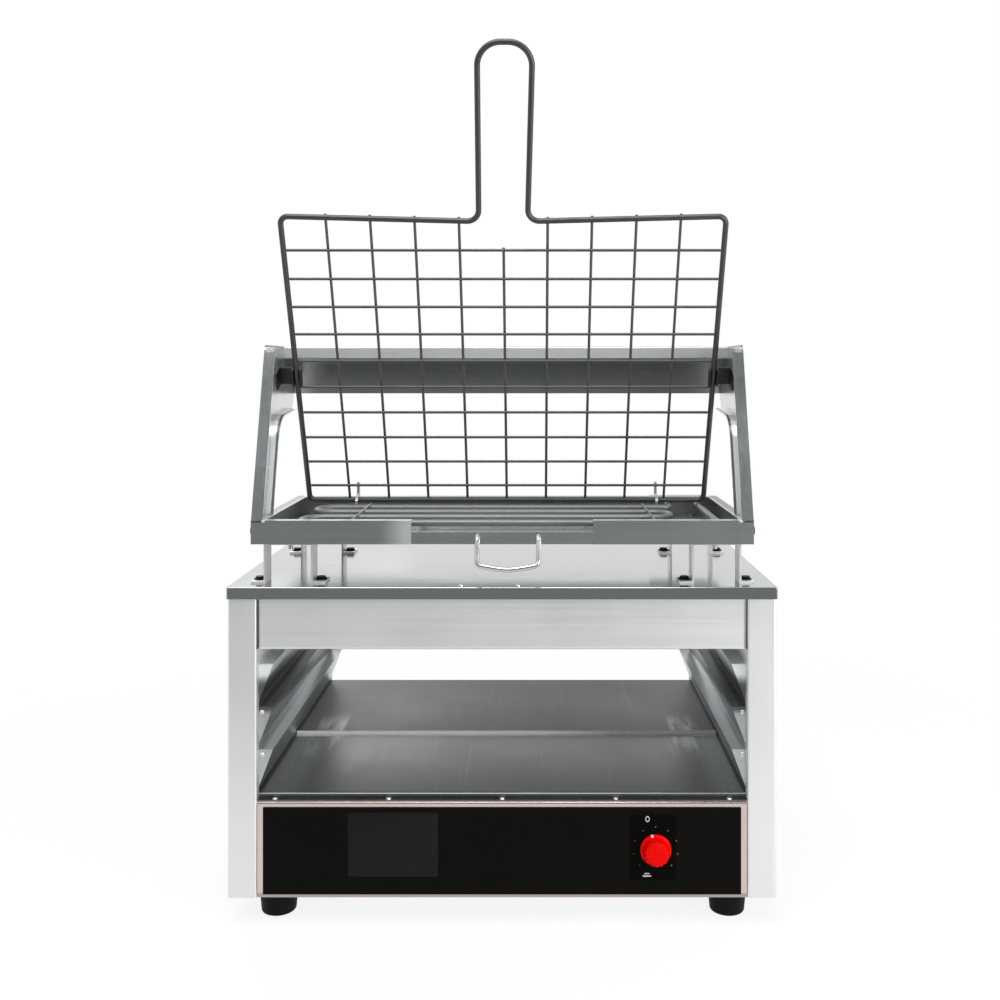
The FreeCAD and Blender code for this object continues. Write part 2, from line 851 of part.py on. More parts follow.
def thermostat():
    body = new_body("thermostat", x=knob_x, y=fascia_back, z=underside + s.knob_height, turn=90)
    wide = s.thermostat_width / 2
    tall = s.thermostat_tall / 2
    deep = s.thermostat_deep
    bore = s.shaft_radius + s.running_clearance
    neck_end = fascia_back - s.panel_sheet + s.fascia_panel_sheet
    case = rectangle(-wide, wide, -tall, tall, s.bend_radius)
    slab(body, "ThermostatCase", "XY", -deep, as_size(0), [case])
    slab(body, "ThermostatNeck", "XY", as_size(0), neck_end, circles=[(0, 0, s.neck_radius)])
    blade = s.panel_sheet / 2
    for number, x in enumerate((-wide / 2, wide / 2)):
        tab = rectangle(x - s.shaft_radius, x + s.shaft_radius, -blade, blade)
        slab(body, f"ThermostatTab{number}", "XY", -deep - s.column_return, -deep, [tab])
    cut(body, "ThermostatBore", "XY", -deep / 2, neck_end, circles=[(0, 0, bore)])


def knob():
    where = {"x": knob_x, "y": as_size(0), "z": underside + s.knob_height, "turn": 90}
    shaft = new_body("knob_shaft", **where)
    skirt_low = s.knob_gap
    cap = s.knob_reach
    socket_end = cap - s.knob_skirt_height
    shaft_low = s.knob_gap - fascia_back - s.thermostat_deep / 2
    slab(shaft, "ShaftRod", "XY", shaft_low, socket_end, circles=[(0, 0, s.shaft_radius)])

    body = new_body("thermostat_knob", **where)
    radius = s.knob_radius
    grip = s.knob_grip_radius
    skirt = skirt_low + s.knob_skirt_height
    bore = s.shaft_radius + s.running_clearance
    profile = [
        (bore, skirt_low),
        (radius, skirt_low),
        (radius, skirt, s.knob_skirt_height * SKIRT_EDGE_SHARE),
        (grip, skirt),
        (grip - s.panel_sheet, cap, s.bend_radius),
        (as_size(0), cap),
        (as_size(0), socket_end),
        (bore, socket_end),
    ]
    turned(body, "KnobTurn", profile)
    flute = cut(body, "KnobFlute", "XY", skirt, cap, circles=[(0, grip + s.panel_sheet / 2, s.panel_sheet)])
    ring = body.newObject("PartDesign::PolarPattern", "KnobFlutes")
    ring.Originals = [flute]
    ring.Axis = (origin_feature(body, "Z_Axis"), [""])
    ring.Angle = 360
    ring.Occurrences = KNOB_FLUTES
    body.Tip = ring
    pointer = rectangle(-s.panel_sheet / 2, s.panel_sheet / 2, grip / 2, grip)
    cut(body, "KnobPointer", "XY", cap - s.panel_sheet / 2, cap, [pointer])


def cabinet_heater():
    body = new_body("cabinet_heater")
    x = heater_half
    front = s.heater_front_depth
    rear = heater_rear
    terminal = s.heater_terminal_x
    bend = s.heater_bend
    level = underside + s.heater_height
    corners = [
        (-terminal, s.heater_terminal_depth),
        (-terminal, front, bend),
        (-x, front, bend),
        (-x, rear, bend),
        (x, rear, bend),
        (x, front, bend),
        (terminal, front, bend),
        (terminal, s.heater_terminal_depth),
    ]
    piped(body, "HeaterTube", "XY", level, corners, False, "XZ", -s.heater_terminal_depth, -terminal, level,
          s.heater_radius)


def heater_clip(name, x, y):
    """A strap that stands on the bottom pan and holds the heater's tube in a hole."""
    body = new_body(name)
    low = underside + s.panel_sheet
    level = underside + s.heater_height
    half = s.clip_width / 2
    top = level + s.heater_radius + s.clip_sheet * 2
    outline = [(x - half, low), (x + half, low), (x + half, top, half / 2), (x - half, top, half / 2)]
    hole = (x, level, s.heater_radius + s.bolt_hole_clearance)
    slab(body, name + "Strap", "XZ", y - s.clip_sheet / 2, y + s.clip_sheet / 2, [outline], [hole])
    toe = rectangle(x - half, x + half, y + s.clip_sheet / 2, y + s.clip_sheet / 2 + s.clip_width)
    slab(body, name + "Toe", "XY", low, low + s.clip_sheet, [toe])


def heater_bracket():
    """A plate on the bottom pan that carries both ends of the heater's tube."""
    body = new_body("heater_bracket")
    low = underside + s.panel_sheet
    level = underside + s.heater_height
    x = s.heater_terminal_x + s.clip_width
    y = s.heater_terminal_depth + s.clip_width
    top = level + s.clip_width
    outline = [(-x, low), (x, low), (x, top, s.bend_radius), (-x, top, s.bend_radius)]
    hole = s.heater_radius + s.bolt_hole_clearance
    holes = [(-s.heater_terminal_x, level, hole), (s.heater_terminal_x, level, hole)]
    slab(body, "BracketPlate", "XZ", y, y + s.clip_sheet, [outline], holes)
    toe = rectangle(-x, x, y + s.clip_sheet, y + s.clip_sheet + s.clip_width)
    slab(body, "BracketToe", "XY", low, low + s.clip_sheet, [toe])


def terminal_block():
    body = new_body("terminal_block")
    low = underside + s.panel_sheet
    x = gland_x
    y = s.cabinet_depth - fascia_back - s.foot_inset_y
    wide = s.gland_radius * 2
    step = s.gland_radius * EDGE_ROUND_SHARE
    slab(body, "BlockBase", "XY", low, low + step, [rectangle(x - wide, x + wide, y - step, y + step)])
    towers = []
    for number in (-1, 0, 1):
        centre = x + number * wide * NECK_SHARE
        half_x, half_y = step * TERMINAL_HALF_SHARE, step * NUT_SHARE
        towers.append(rectangle(centre - half_x, centre + half_x, y - half_y, y + half_y))
    slab(body, "BlockTowers", "XY", low + step, low + step * 2, towers)


def gland(name, x, y, z, turn):
    """A screwed cable outlet: a flange, a hexagon and a rounded nut, with an empty bore."""
    body = new_body(name, x=x, y=y, z=z, turn=turn)
    radius = s.gland_radius
    reach = s.gland_reach
    profile = [
        (s.gland_bore, -s.panel_sheet * 2),
        (gland_neck, -s.panel_sheet * 2),
        (gland_neck, as_size(0)),
        (radius, as_size(0)),
        (radius, reach * NUT_RISE_SHARE),
        (radius * NUT_SHARE, reach * SKIRT_EDGE_SHARE),
        (radius * NUT_SHARE, reach, s.bend_radius),
        (s.gland_bore, reach),
    ]
    turned(body, name + "Turn", profile)
    return body


# Stand-offs

def stand_off_places():
    return {
        "front_left": (-stand_off_x, s.stand_off_front_y),
        "front_right": (stand_off_x, s.stand_off_front_y),
        "rear_left": (-stand_off_x, s.stand_off_rear_y),
        "rear_right": (stand_off_x, s.stand_off_rear_y),
    }


def foot_bolt_places():
    places = []
    for x, y in stand_off_places().values():
        reach = s.stand_off_width / 2 + s.stand_off_foot / 2
        places.append((x - reach, y))
        places.append((x + reach, y))
    return places


def stand_off(name, x, y):
    body = new_body(name)
    half = s.stand_off_width / 2
    foot_end = half + s.stand_off_foot
    low = top_face
    high = tray_base
    sheet_z = s.stand_off_sheet
    radius = s.bend_radius
    corners = [
        (x - foot_end, low),
        (x - half + sheet_z, low),
        (x - half + sheet_z, high - sheet_z),
        (x + half - sheet_z, high - sheet_z),
        (x + half - sheet_z, low),
        (x + foot_end, low),
        (x + foot_end, low + sheet_z),
        (x + half, low + sheet_z),
        (x + half, high, radius),
        (x - half, high, radius),
        (x - half, low + sheet_z),
        (x - foot_end, low + sheet_z),
    ]
    deep = s.stand_off_depth / 2
    slab(body, name + "Fold", "XZ", y - deep, y + deep, [corners])
    reach = half + s.stand_off_foot / 2
    cut(body, name + "FootHoles", "XY", low, low + sheet_z,
        circles=[(x - reach, y, bolt_hole), (x + reach, y, bolt_hole)])
    cut(body, name + "WebHole", "XY", high - sheet_z, high, circles=[(x, y, bolt_hole)])


# Toasting tray and what it holds

def toasting_tray():
    body = new_body("toasting_tray")
    sheet_z = s.tray_sheet
    front = s.tray_front
    notch = s.drawer_width / 2
    apron = tray_half + s.arm_sheet
    outside = rectangle(-tray_half, tray_half, front, tray_rear)
    inside = rectangle(-tray_half + sheet_z, tray_half - sheet_z, front + sheet_z, tray_rear - sheet_z)
    rim = s.tray_rim_width
    mouth = rectangle(-tray_half + rim, tray_half - rim, front + rim, tray_rear - rim)
    floor_holes = [(x, y, bolt_hole) for x, y in stand_off_places().values()]
    slab(body, "TrayFloor", "XY", tray_base, tray_floor, [outside], floor_holes)
    slab(body, "TrayWall", "XY", tray_floor, rim_face - sheet_z, [outside, inside])
    slab(body, "TrayRim", "XY", rim_face - sheet_z, rim_face, [outside, mouth])
    face = [(-apron, tray_base), (apron, tray_base), (apron, rim_face), (-apron, rim_face)]
    slab(body, "TrayApron", "XZ", front, front + sheet_z, [face])
    gap = rectangle(-notch, notch, tray_base, rim_face)
    cut(body, "DrawerNotch", "XZ", front, front + sheet_z, [gap])
    rim_gap = rectangle(-notch, notch, tray_floor, rim_face)
    cut(body, "DrawerRimNotch", "XZ", front + sheet_z, front + rim, [rim_gap])
    level = tray_floor + s.element_height
    holes = [(x, level, s.bush_radius + s.screw_hole_clearance) for x in element_exits()]
    cut(body, "ElementHoles", "XZ", tray_rear - sheet_z, tray_rear, circles=holes)
    arm_holes = [(y, z, bolt_hole) for y, z in arm_bolt_places()]
    cut(body, "ArmHolesLeft", "YZ", -tray_half, -tray_half + sheet_z, circles=arm_holes)
    cut(body, "ArmHolesRight", "YZ", tray_half - sheet_z, tray_half, circles=arm_holes)


def arm_bolt_places():
    level = tray_base + s.tray_height / 2
    return [(arm_front + s.arm_depth * share, level) for share in ARM_BOLT_SHARES]


def crumb_drawer():
    body = new_body("crumb_drawer")
    sheet_z = s.drawer_sheet
    gap = s.drawer_gap
    front = s.tray_front
    face_back = front + sheet_z
    half = s.drawer_width / 2 - gap
    tub_half = s.drawer_width / 2 - s.drawer_side_inset
    low = tray_base + gap
    floor_low = tray_floor
    top = low + s.drawer_front_height
    rear = face_back + s.drawer_depth
    wall_top = floor_low + s.drawer_wall_height
    outside = rectangle(-tub_half, tub_half, face_back, rear)
    slab(body, "DrawerFloor", "XY", floor_low, floor_low + sheet_z, [outside])
    wall = channel(-tub_half, tub_half, face_back, rear, sheet_z)
    slab(body, "DrawerWall", "XY", floor_low + sheet_z, wall_top, [wall])
    face = rectangle(-half, half, low, top)
    slab(body, "DrawerFace", "XZ", front, face_back, [face])
    hem = rectangle(-half, half, top - sheet_z, top)
    slab(body, "DrawerHem", "XZ", face_back, face_back + s.drawer_hem, [hem])


def drawer_guides():
    """Two folded strips on the tray's floor, one each side of the drawer."""
    body = new_body("drawer_guides")
    sheet_z = s.tray_sheet
    start = s.tray_front + s.tray_rim_width + s.drawer_gap
    end = s.tray_front + s.drawer_depth
    wall = s.drawer_width / 2 - s.drawer_side_inset + s.drawer_gap
    for name, side in (("Left", -1), ("Right", 1)):
        corners = [
            (side * wall, tray_floor),
            (side * (wall + s.tray_rim_width), tray_floor),
            (side * (wall + s.tray_rim_width), tray_floor + sheet_z),
            (side * (wall + sheet_z), tray_floor + sheet_z),
            (side * (wall + sheet_z), tray_floor + s.drawer_wall_height),
            (side * wall, tray_floor + s.drawer_wall_height),
        ]
        slab(body, "Guide" + name, "XZ", start, end, [corners])


def bent_wire(name, points, bends, radius):
    """A round wire through points of the cabinet's frame, bent to the given radii at the inner points."""
    edges = []
    start = points[0]
    for index in range(1, len(points) - 1):
        before, corner, after = points[index - 1:index + 2]
        bend = bends[index - 1]
        enter, leave, centre = bend_points(before, corner, after, bend)
        edges.append(Part.LineSegment(start, enter).toShape())
        middle = centre + (corner - centre).normalize() * bend
        edges.append(Part.Arc(enter, middle, leave).toShape())
        start = leave
    edges.append(Part.LineSegment(start, points[-1]).toShape())
    path = Part.Wire(edges)
    heading = points[1] - points[0]
    end = Part.Wire([Part.Circle(points[0], heading, radius).toShape()])
    feature = doc.addObject("Part::Feature", name)
    feature.Label = name
    feature.Shape = path.makePipeShell([end], True, False)
    nodes[name] = feature
    return feature


def drawer_pull():
    """The bowed wire pull, which leaves the drawer's face level and hangs forward of it."""
    left = s.pull_x - s.pull_half_width
    right = s.pull_x + s.pull_half_width
    root = tray_base + s.drawer_gap + s.drawer_front_height - s.drawer_sheet - s.pull_wire_radius
    knee = s.tray_front - s.pull_reach / 2
    out = s.tray_front - s.pull_reach
    low = root - s.pull_drop
    points = [
        world(left, s.tray_front, root),
        world(left, knee, root),
        world(left, out, low),
        world(s.pull_x, out, low - s.pull_bow),
        world(right, out, low),
        world(right, knee, root),
        world(right, s.tray_front, root),
    ]
    wire = s.pull_wire_radius.number
    bow = s.pull_half_width.number * 2
    bent_wire("drawer_pull", points, [wire * 2, wire * PULL_BEND_SHARE, bow, wire * PULL_BEND_SHARE, wire * 2], wire)


def element_exits():
    return [element_exit_near, element_exit_far]


def toasting_element():
    body = new_body("toasting_element")
    level = tray_floor + s.element_height
    bend = s.element_run_pitch / 2 - s.drawer_gap
    far = element_half
    near = element_return
    runs = [s.element_first_run + s.element_run_pitch * number for number in range(4)]
    end = tray_rear + s.cover_depth / 2
    corner = s.element_radius * 3
    corners = [
        (element_exit_far, end),
        (element_exit_far, runs[0], corner),
        (-far, runs[0], bend),
        (-far, runs[1], bend),
        (near, runs[1], bend),
        (near, runs[2], bend),
        (-far, runs[2], bend),
        (-far, runs[3], bend),
        (element_exit_near, runs[3], corner),
        (element_exit_near, end),
    ]
    piped(body, "ElementTube", "XY", level, corners, False, "XZ", -end, element_exit_far, level,
          s.element_radius)


def element_supports():
    """Two combs on the tray's floor that hold the element's runs off it."""
    body = new_body("element_supports")
    level = tray_floor + s.element_height
    hole = s.element_radius + s.bolt_hole_clearance
    margin = s.element_run_pitch / 3
    start = s.element_first_run - margin
    end = s.element_first_run + s.element_run_pitch * 3 + margin
    outline = [(start, tray_floor), (end, tray_floor), (end, level + margin * 0.3, margin * 0.3),
               (start, level + margin * 0.3, margin * 0.3)]
    holes = [(s.element_first_run + s.element_run_pitch * number, level, hole) for number in range(4)]
    for name, side in (("Left", -1), ("Right", 1)):
        x = side * element_support_x
        half = s.element_support_sheet / 2
        slab(body, "Comb" + name, "YZ", x - half, x + half, [outline], holes)
        toe = rectangle(x + half, x + half + s.tray_rim_width, start, end)
        slab(body, "CombToe" + name, "XY", tray_floor, tray_floor + s.element_support_sheet, [toe])


def element_bushes():
    """Ceramic bushes that carry the element's ends through the tray's rear wall."""
    body = new_body("element_bushes", y=tray_rear, z=tray_floor + s.element_height, turn=-90)
    bore = s.element_radius + s.running_clearance
    low = -s.tray_sheet
    flange = s.bush_radius + s.bush_rim
    flange_top = s.panel_sheet * 1.5
    necks = [(x, 0, s.bush_radius) for x in element_exits()]
    rims = [(x, 0, flange) for x in element_exits()]
    bores = [(x, 0, bore) for x in element_exits()]
    slab(body, "BushNeck", "XY", low - s.panel_sheet, as_size(0), circles=necks)
    slab(body, "BushRim", "XY", as_size(0), flange_top, circles=rims)
    cut(body, "BushBore", "XY", low - s.panel_sheet, flange_top, circles=bores)


def terminal_cover():
    """A folded box behind the tray over the element's ends."""
    body = new_body("terminal_cover")
    sheet_z = s.tray_sheet
    middle = (element_exit_near + element_exit_far) / 2
    half = s.cover_width / 2
    low = tray_base
    high = rim_face - sheet_z
    rear = tray_rear + s.cover_depth
    outside = rectangle(middle - half, middle + half, tray_rear, rear)
    wall = channel(middle - half, middle + half, tray_rear, rear, sheet_z)
    slab(body, "CoverWall", "XY", low + sheet_z, high - sheet_z, [wall])
    slab(body, "CoverBase", "XY", low, low + sheet_z, [outside])
    slab(body, "CoverTop", "XY", high - sheet_z, high, [outside])
    neck_x = middle - half / 2
    level = (low + high) / 2
    hole = (neck_x, level, gland_neck + s.bolt_hole_clearance)
    cut(body, "CoverHole", "XZ", rear - sheet_z, rear, circles=[hole])
    gland("tray_gland", neck_x, rear, level, -90)


# Arms and hood

def arm_edge(level):
    """Depth of the arm's leaning front edge at a height above the tray's rim."""
    return arm_front + (level - rim_face) * tangent(s.arm_angle)


def gusset_corner():
    level = tray_base + s.gusset_tip_height - s.arm_rear_flange
    return arm_edge(level) + s.arm_depth, level


def hood_points():
    front = s.hood_front_y
    strip_low = arm_crown - s.hood_strip
    rear = front + s.hood_run
    rear_low = strip_low - s.hood_run * tangent(s.hood_angle)
    return front, strip_low, rear, rear_low


def across(side, near, far):
    """The low and high X of a stretch from near to far on the left (-1) or right (1) side."""
    return (near, far) if side > 0 else (-far, -near)


def arm(name, side):
    body = new_body(name)
    outer = tray_half + s.arm_sheet
    inner = tray_half
    front, strip_low, hood_rear, hood_low = hood_points()
    corner_y, corner_z = gusset_corner()
    tip_z = tray_base + s.gusset_tip_height
    foot_rear = arm_front + s.arm_depth
    wing = s.arm_rear_flange
    web = [
        (arm_front, tray_base),
        (arm_front, rim_face),
        (arm_edge(arm_crown), arm_crown, wing),
        (front + s.hood_top_return, arm_crown, wing),
        (hood_rear + wing, hood_low + wing, wing),
        (s.gusset_tip_y, tip_z, wing / 2),
        (corner_y, corner_z, s.gusset_bend),
        (foot_rear, rim_face),
        (foot_rear, tray_base),
    ]
    holes = [(y, z, bolt_hole) for y, z in arm_bolt_places() + hood_bolt_places()]
    slab(body, name + "Web", "YZ", *across(side, inner, outer), [web], holes)
    clear = rim_face + s.weld_gap * 4
    thick = s.arm_sheet
    flange_top = arm_crown - wing
    front_fold = [
        (arm_edge(clear), clear),
        (arm_edge(clear) + thick, clear),
        (arm_edge(flange_top) + thick, flange_top),
        (arm_edge(flange_top), flange_top),
    ]
    slab(body, name + "FrontFold", "YZ", *across(side, inner - s.arm_front_flange, inner), [front_fold])
    rear_clear = arm_edge(clear) + s.arm_depth
    share = 0.9
    end_y = corner_y + (s.gusset_tip_y - corner_y) * share
    end_z = corner_z + (tip_z - corner_z) * share
    rear_fold = [
        (rear_clear - thick, clear),
        (rear_clear, clear),
        (corner_y, corner_z, s.gusset_bend),
        (end_y, end_z),
        (end_y, end_z + thick),
        (corner_y - thick, corner_z + thick, s.gusset_bend),
    ]
    slab(body, name + "RearFold", "YZ", *across(side, inner - s.arm_rear_flange, inner), [rear_fold])


def hood_bolt_places():
    front, strip_low, rear, rear_low = hood_points()
    inset = s.hood_top_return * HOOD_BOLT_INSET_SHARE
    run = s.hood_run * HOOD_BOLT_RUN_SHARE
    return [(front + inset, strip_low), (front + run, strip_low - run * tangent(s.hood_angle) + inset)]


def hood():
    body = new_body("hood")
    front, strip_low, rear, rear_low = hood_points()
    thick = s.hood_sheet
    rise = thick / cosine(s.hood_angle)
    knee = strip_low + rise - thick * tangent(s.hood_angle)
    half = tray_half
    profile = [
        (front + s.hood_top_return, arm_crown),
        (front, arm_crown, s.bend_radius),
        (front, strip_low, s.bend_radius),
        (rear, rear_low),
        (rear, rear_low + rise),
        (front + thick, knee),
        (front + thick, arm_crown - thick),
        (front + s.hood_top_return, arm_crown - thick),
    ]
    slab(body, "HoodFold", "YZ", -half, half, [profile])
    end = [
        (front + s.hood_top_return, arm_crown - thick),
        (front + thick / 2, arm_crown - thick),
        (front + thick / 2, strip_low + thick / 2),
        (rear, rear_low + rise / 2),
        (rear, rear_low + s.hood_top_return),
    ]
    holes = [(y, z, bolt_hole) for y, z in hood_bolt_places()]
    slab(body, "HoodEndLeft", "YZ", -half, -half + thick, [end], holes)
    slab(body, "HoodEndRight", "YZ", half - thick, half, [end], holes)


# Basket, which stands in its own leaning plane: x across, y up the plane, z towards the user

basket_place = {"y": s.hinge_y, "z": hinge_z, "turn": s.basket_angle + 90}
grid_pitch = side_wire_x * 2 / s.grid_columns
long_wire_z = -(s.frame_wire_radius + s.grid_wire_radius + s.weld_gap)
cross_wire_z = long_wire_z + s.grid_wire_radius * 2 + s.weld_gap


def basket():
    frame = new_body("basket_frame", **basket_place)
    x = side_wire_x
    top = s.basket_length
    crown = wire_reach
    dip = top - s.rail_dip
    handle = s.handle_root_half
    crown_left = s.handle_crown_shift - s.handle_crown_half
    crown_right = s.handle_crown_shift + s.handle_crown_half
    corner = s.basket_corner
    root = s.handle_root_bend
    arch = s.handle_top_bend
    corners = [
        (0, 0),
        (x, 0, corner),
        (x, top, corner),
        (handle, dip, root),
        (crown_right, crown, arch),
        (crown_left, crown, arch),
        (-handle, dip, root),
        (-x, top, corner),
        (-x, 0, corner),
        (0, 0),
    ]
    piped(frame, "FrameWire", "XY", 0, corners, False, "YZ", 0, 0, 0, s.frame_wire_radius)

    long_wires = new_body("basket_long_wires", **basket_place)
    radius = s.grid_wire_radius
    overlap = s.frame_wire_radius * WIRE_OVERLAP_SHARE
    for number in range(1, LONG_WIRE_PAIRS + 1):
        out = grid_pitch * number
        rail = top - s.rail_dip * (x - out) / (x - handle)
        circles = [(-out, long_wire_z, radius), (out, long_wire_z, radius)]
        slab(long_wires, f"LongWires{number}", "XZ", -overlap, rail + overlap, circles=circles)
    last_cross = s.first_cross_wire + s.cross_wire_pitch * (CROSS_WIRES - 1)
    slab(long_wires, "MiddleWire", "XZ", -overlap, last_cross + radius, circles=[(0, long_wire_z, radius)])

    cross_wires = new_body("basket_cross_wires", **basket_place)
    half = x - s.frame_wire_radius - s.weld_gap * 2
    rows = [s.first_cross_wire + s.cross_wire_pitch * number for number in range(CROSS_WIRES)]
    slab(cross_wires, "CrossWires", "YZ", -half, half, circles=[(row, cross_wire_z, radius) for row in rows])


def hinge_lug(name, side):
    """A plate on the tray's floor, with an eye round the basket's lower wire and a tall tongue."""
    body = new_body(name)
    x = side * lug_x
    half = s.lug_sheet / 2
    eye = s.frame_wire_radius + s.lug_clearance
    wall = eye + s.lug_eye_wall
    tongue_front = s.hinge_y + wall + s.lug_clearance * 4
    tongue_rear = tongue_front + s.lug_tongue_depth
    top = tray_floor + s.lug_tongue_height
    corners = [
        (s.hinge_y - wall, tray_floor),
        (tongue_rear + wall, tray_floor),
        (tongue_rear, tray_floor + wall * 1.5, wall),
        (tongue_rear, top, s.lug_tongue_depth * LUG_EDGE_SHARE),
        (tongue_front, top, s.lug_tongue_depth * LUG_EDGE_SHARE),
        (tongue_front, hinge_z + wall * 0.6),
        (s.hinge_y, hinge_z + wall, wall * 0.3),
        (s.hinge_y - wall, hinge_z, wall * LUG_EDGE_SHARE),
    ]
    slab(body, name + "Plate", "YZ", x - half, x + half, [corners], [(s.hinge_y, hinge_z, eye)])


def rest_clip(name, side):
    """A sprung channel on the arm that takes the basket's side wire from the front and holds it up."""
    body = new_body(name, **basket_place)
    wire = side_wire_x
    gap = s.frame_wire_radius + s.rest_clip_gap
    thick = s.rest_clip_sheet
    web = tray_half
    mouth = s.rest_clip_mouth
    profile = [
        (wire - gap - thick, mouth),
        (wire - gap, mouth),
        (wire - gap, -gap),
        (wire + gap, -gap),
        (wire + gap, mouth),
        (wire + gap + thick, mouth),
        (wire + gap + thick, -gap),
        (web - thick, -gap),
        (web - thick, s.rest_clip_flange),
        (web, s.rest_clip_flange),
        (web, -gap - thick),
        (wire - gap - thick, -gap - thick),
    ]
    profile = [(side * x, z) for x, z in profile]
    half = s.rest_clip_length / 2
    slab(body, name + "Channel", "XZ", s.rest_clip_along - half, s.rest_clip_along + half, [profile])


# Fasteners, each a group of equal solids in one node

def head_up(x, y, z):
    return Placement(world(x, y, z), Rotation())


def heads_along(x, y, z, direction):
    return Placement(world(x, y, z), Rotation(Vector(0, 0, 1), direction))


def fasteners():
    bolt = fastener("Bolt", s.bolt_head_radius, s.bolt_head_height, s.bolt_radius, s.bolt_length, sides=6)
    seat = top_face + s.stand_off_sheet
    group("stand_off_bolts", bolt, [head_up(x, y, seat) for x, y in foot_bolt_places()])
    group("tray_bolts", bolt, [head_up(x, y, tray_floor) for x, y in stand_off_places().values()])

    screw = fastener("PanScrew", s.fascia_screw_head, s.panel_sheet, s.screw_radius, s.screw_length)
    seat = ledge_face + s.floor_sheet
    group("fascia_screws", screw,
          [head_up(x, s.fascia_screw_depth, seat) for x in fascia_screw_places()])
    group("top_plate_screws", screw,
          [head_up(x, s.top_screw_depth, top_face) for x in top_screw_places()])
    behind = Vector(0, 1, 0)
    group("rear_panel_screws", screw,
          [heads_along(x, rear_skin, z, behind) for x, z in rear_screw_places()])

    places = []
    for side in (-1, 1):
        outward = Vector(side, 0, 0)
        for y, z in arm_bolt_places():
            places.append(heads_along(side * (tray_half + s.arm_sheet), y, z, outward))
    group("arm_bolts", bolt, places)
    places = []
    for side in (-1, 1):
        outward = Vector(side, 0, 0)
        for y, z in hood_bolt_places():
            places.append(heads_along(side * (tray_half + s.arm_sheet), y, z, outward))
    group("hood_bolts", bolt, places)

    foot_screw = fastener("FootScrew", s.bolt_head_radius, s.bolt_head_height, s.foot_screw_radius,
                          s.foot_height - s.foot_screw_recess + s.panel_sheet * 2)
    down = Vector(0, 0, -1)
    group("foot_screws", foot_screw,
          [heads_along(x, y, s.foot_screw_recess, down) for x, y in foot_places()])


side_panel("left_side_panel", -1)
side_panel("right_side_panel", 1)
rack_liner("left_rack_liner", -1)
rack_liner("right_rack_liner", 1)
top_plate()
header("front_header", True)
header("rear_header", False)
bottom_pan()
floor_plates()
fascia()
rear_panel()
for place_name, (foot_x, foot_y) in zip(stand_off_places(), foot_places()):
    foot(place_name + "_foot", foot_x, foot_y)
thermostat()
knob()
cabinet_heater()
heater_clip("left_heater_clip", -heater_half, (s.heater_front_depth + heater_rear) / 2)
heater_clip("right_heater_clip", heater_half, (s.heater_front_depth + heater_rear) / 2)
heater_bracket()
terminal_block()
gland("cabinet_gland", gland_x, rear_skin, underside + s.gland_height, -90)
for place_name, (stand_x, stand_y) in stand_off_places().items():
    stand_off(place_name + "_stand_off", stand_x, stand_y)
toasting_tray()
crumb_drawer()
drawer_guides()
drawer_pull()
toasting_element()
element_supports()
element_bushes()
terminal_cover()
arm("left_arm", -1)
arm("right_arm", 1)
hood()
basket()
hinge_lug("left_hinge_lug", -1)
hinge_lug("right_hinge_lug", 1)
rest_clip("left_rest_clip", -1)
rest_clip("right_rest_clip", 1)
fasteners()

# Check every object, then write one file for each node
doc.recompute()
problems = []
for item in doc.Objects:
    if "Invalid" in item.State or "Error" in item.State:
        problems.append(f"{item.Name}: {item.State}")
for name, item in nodes.items():
    if item.Shape.isNull() or not item.Shape.isValid() or not item.Shape.Solids:
        problems.append(f"{name}: no valid solid")
if problems:
    raise RuntimeError("; ".join(problems))

os.makedirs("parts", exist_ok=True)
extent = FreeCAD.BoundBox()
for name, item in nodes.items():
    item.Shape.exportStep(f"parts/{name}.step")
    extent.add(item.Shape.BoundBox)
    print(f"{name}: {len(item.Shape.Solids)} solid(s), {item.Shape.Volume:.0f} cubic mm")
print(f"{len(nodes)} nodes, {extent.XLength:.1f} x {extent.YLength:.1f} x {extent.ZLength:.1f} mm")
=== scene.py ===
import math

import bmesh
import bpy
from bpy.props import FloatProperty, FloatVectorProperty, IntProperty, PointerProperty
from mathutils import Matrix, Vector


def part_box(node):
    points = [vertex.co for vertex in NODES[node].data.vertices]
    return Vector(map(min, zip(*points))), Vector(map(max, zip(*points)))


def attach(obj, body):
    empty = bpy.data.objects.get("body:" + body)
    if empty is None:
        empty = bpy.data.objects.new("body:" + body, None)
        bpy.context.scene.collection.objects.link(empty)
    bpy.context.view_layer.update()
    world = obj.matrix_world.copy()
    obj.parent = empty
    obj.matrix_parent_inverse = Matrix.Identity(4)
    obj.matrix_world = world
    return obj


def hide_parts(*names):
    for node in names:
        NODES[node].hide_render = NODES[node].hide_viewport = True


bl_info = {
    "name": "Countertop toaster",
    "version": (1, 0, 0),
    "blender": (4, 5, 0),
    "location": "View3D > Sidebar > Toaster",
    "description": "Dresses the toaster's solids with metal, plastic and printed detail, and lights them",
    "category": "Object",
}

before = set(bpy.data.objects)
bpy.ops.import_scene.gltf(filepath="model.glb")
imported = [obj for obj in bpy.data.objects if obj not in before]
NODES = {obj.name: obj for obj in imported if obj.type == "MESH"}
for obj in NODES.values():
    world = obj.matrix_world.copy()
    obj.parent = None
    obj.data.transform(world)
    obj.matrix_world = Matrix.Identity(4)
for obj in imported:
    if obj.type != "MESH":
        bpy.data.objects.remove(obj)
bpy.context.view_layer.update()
MM = 0.001
CORNERS = ("front_left", "front_right", "rear_left", "rear_right")


# Sizes and colours that a user would change

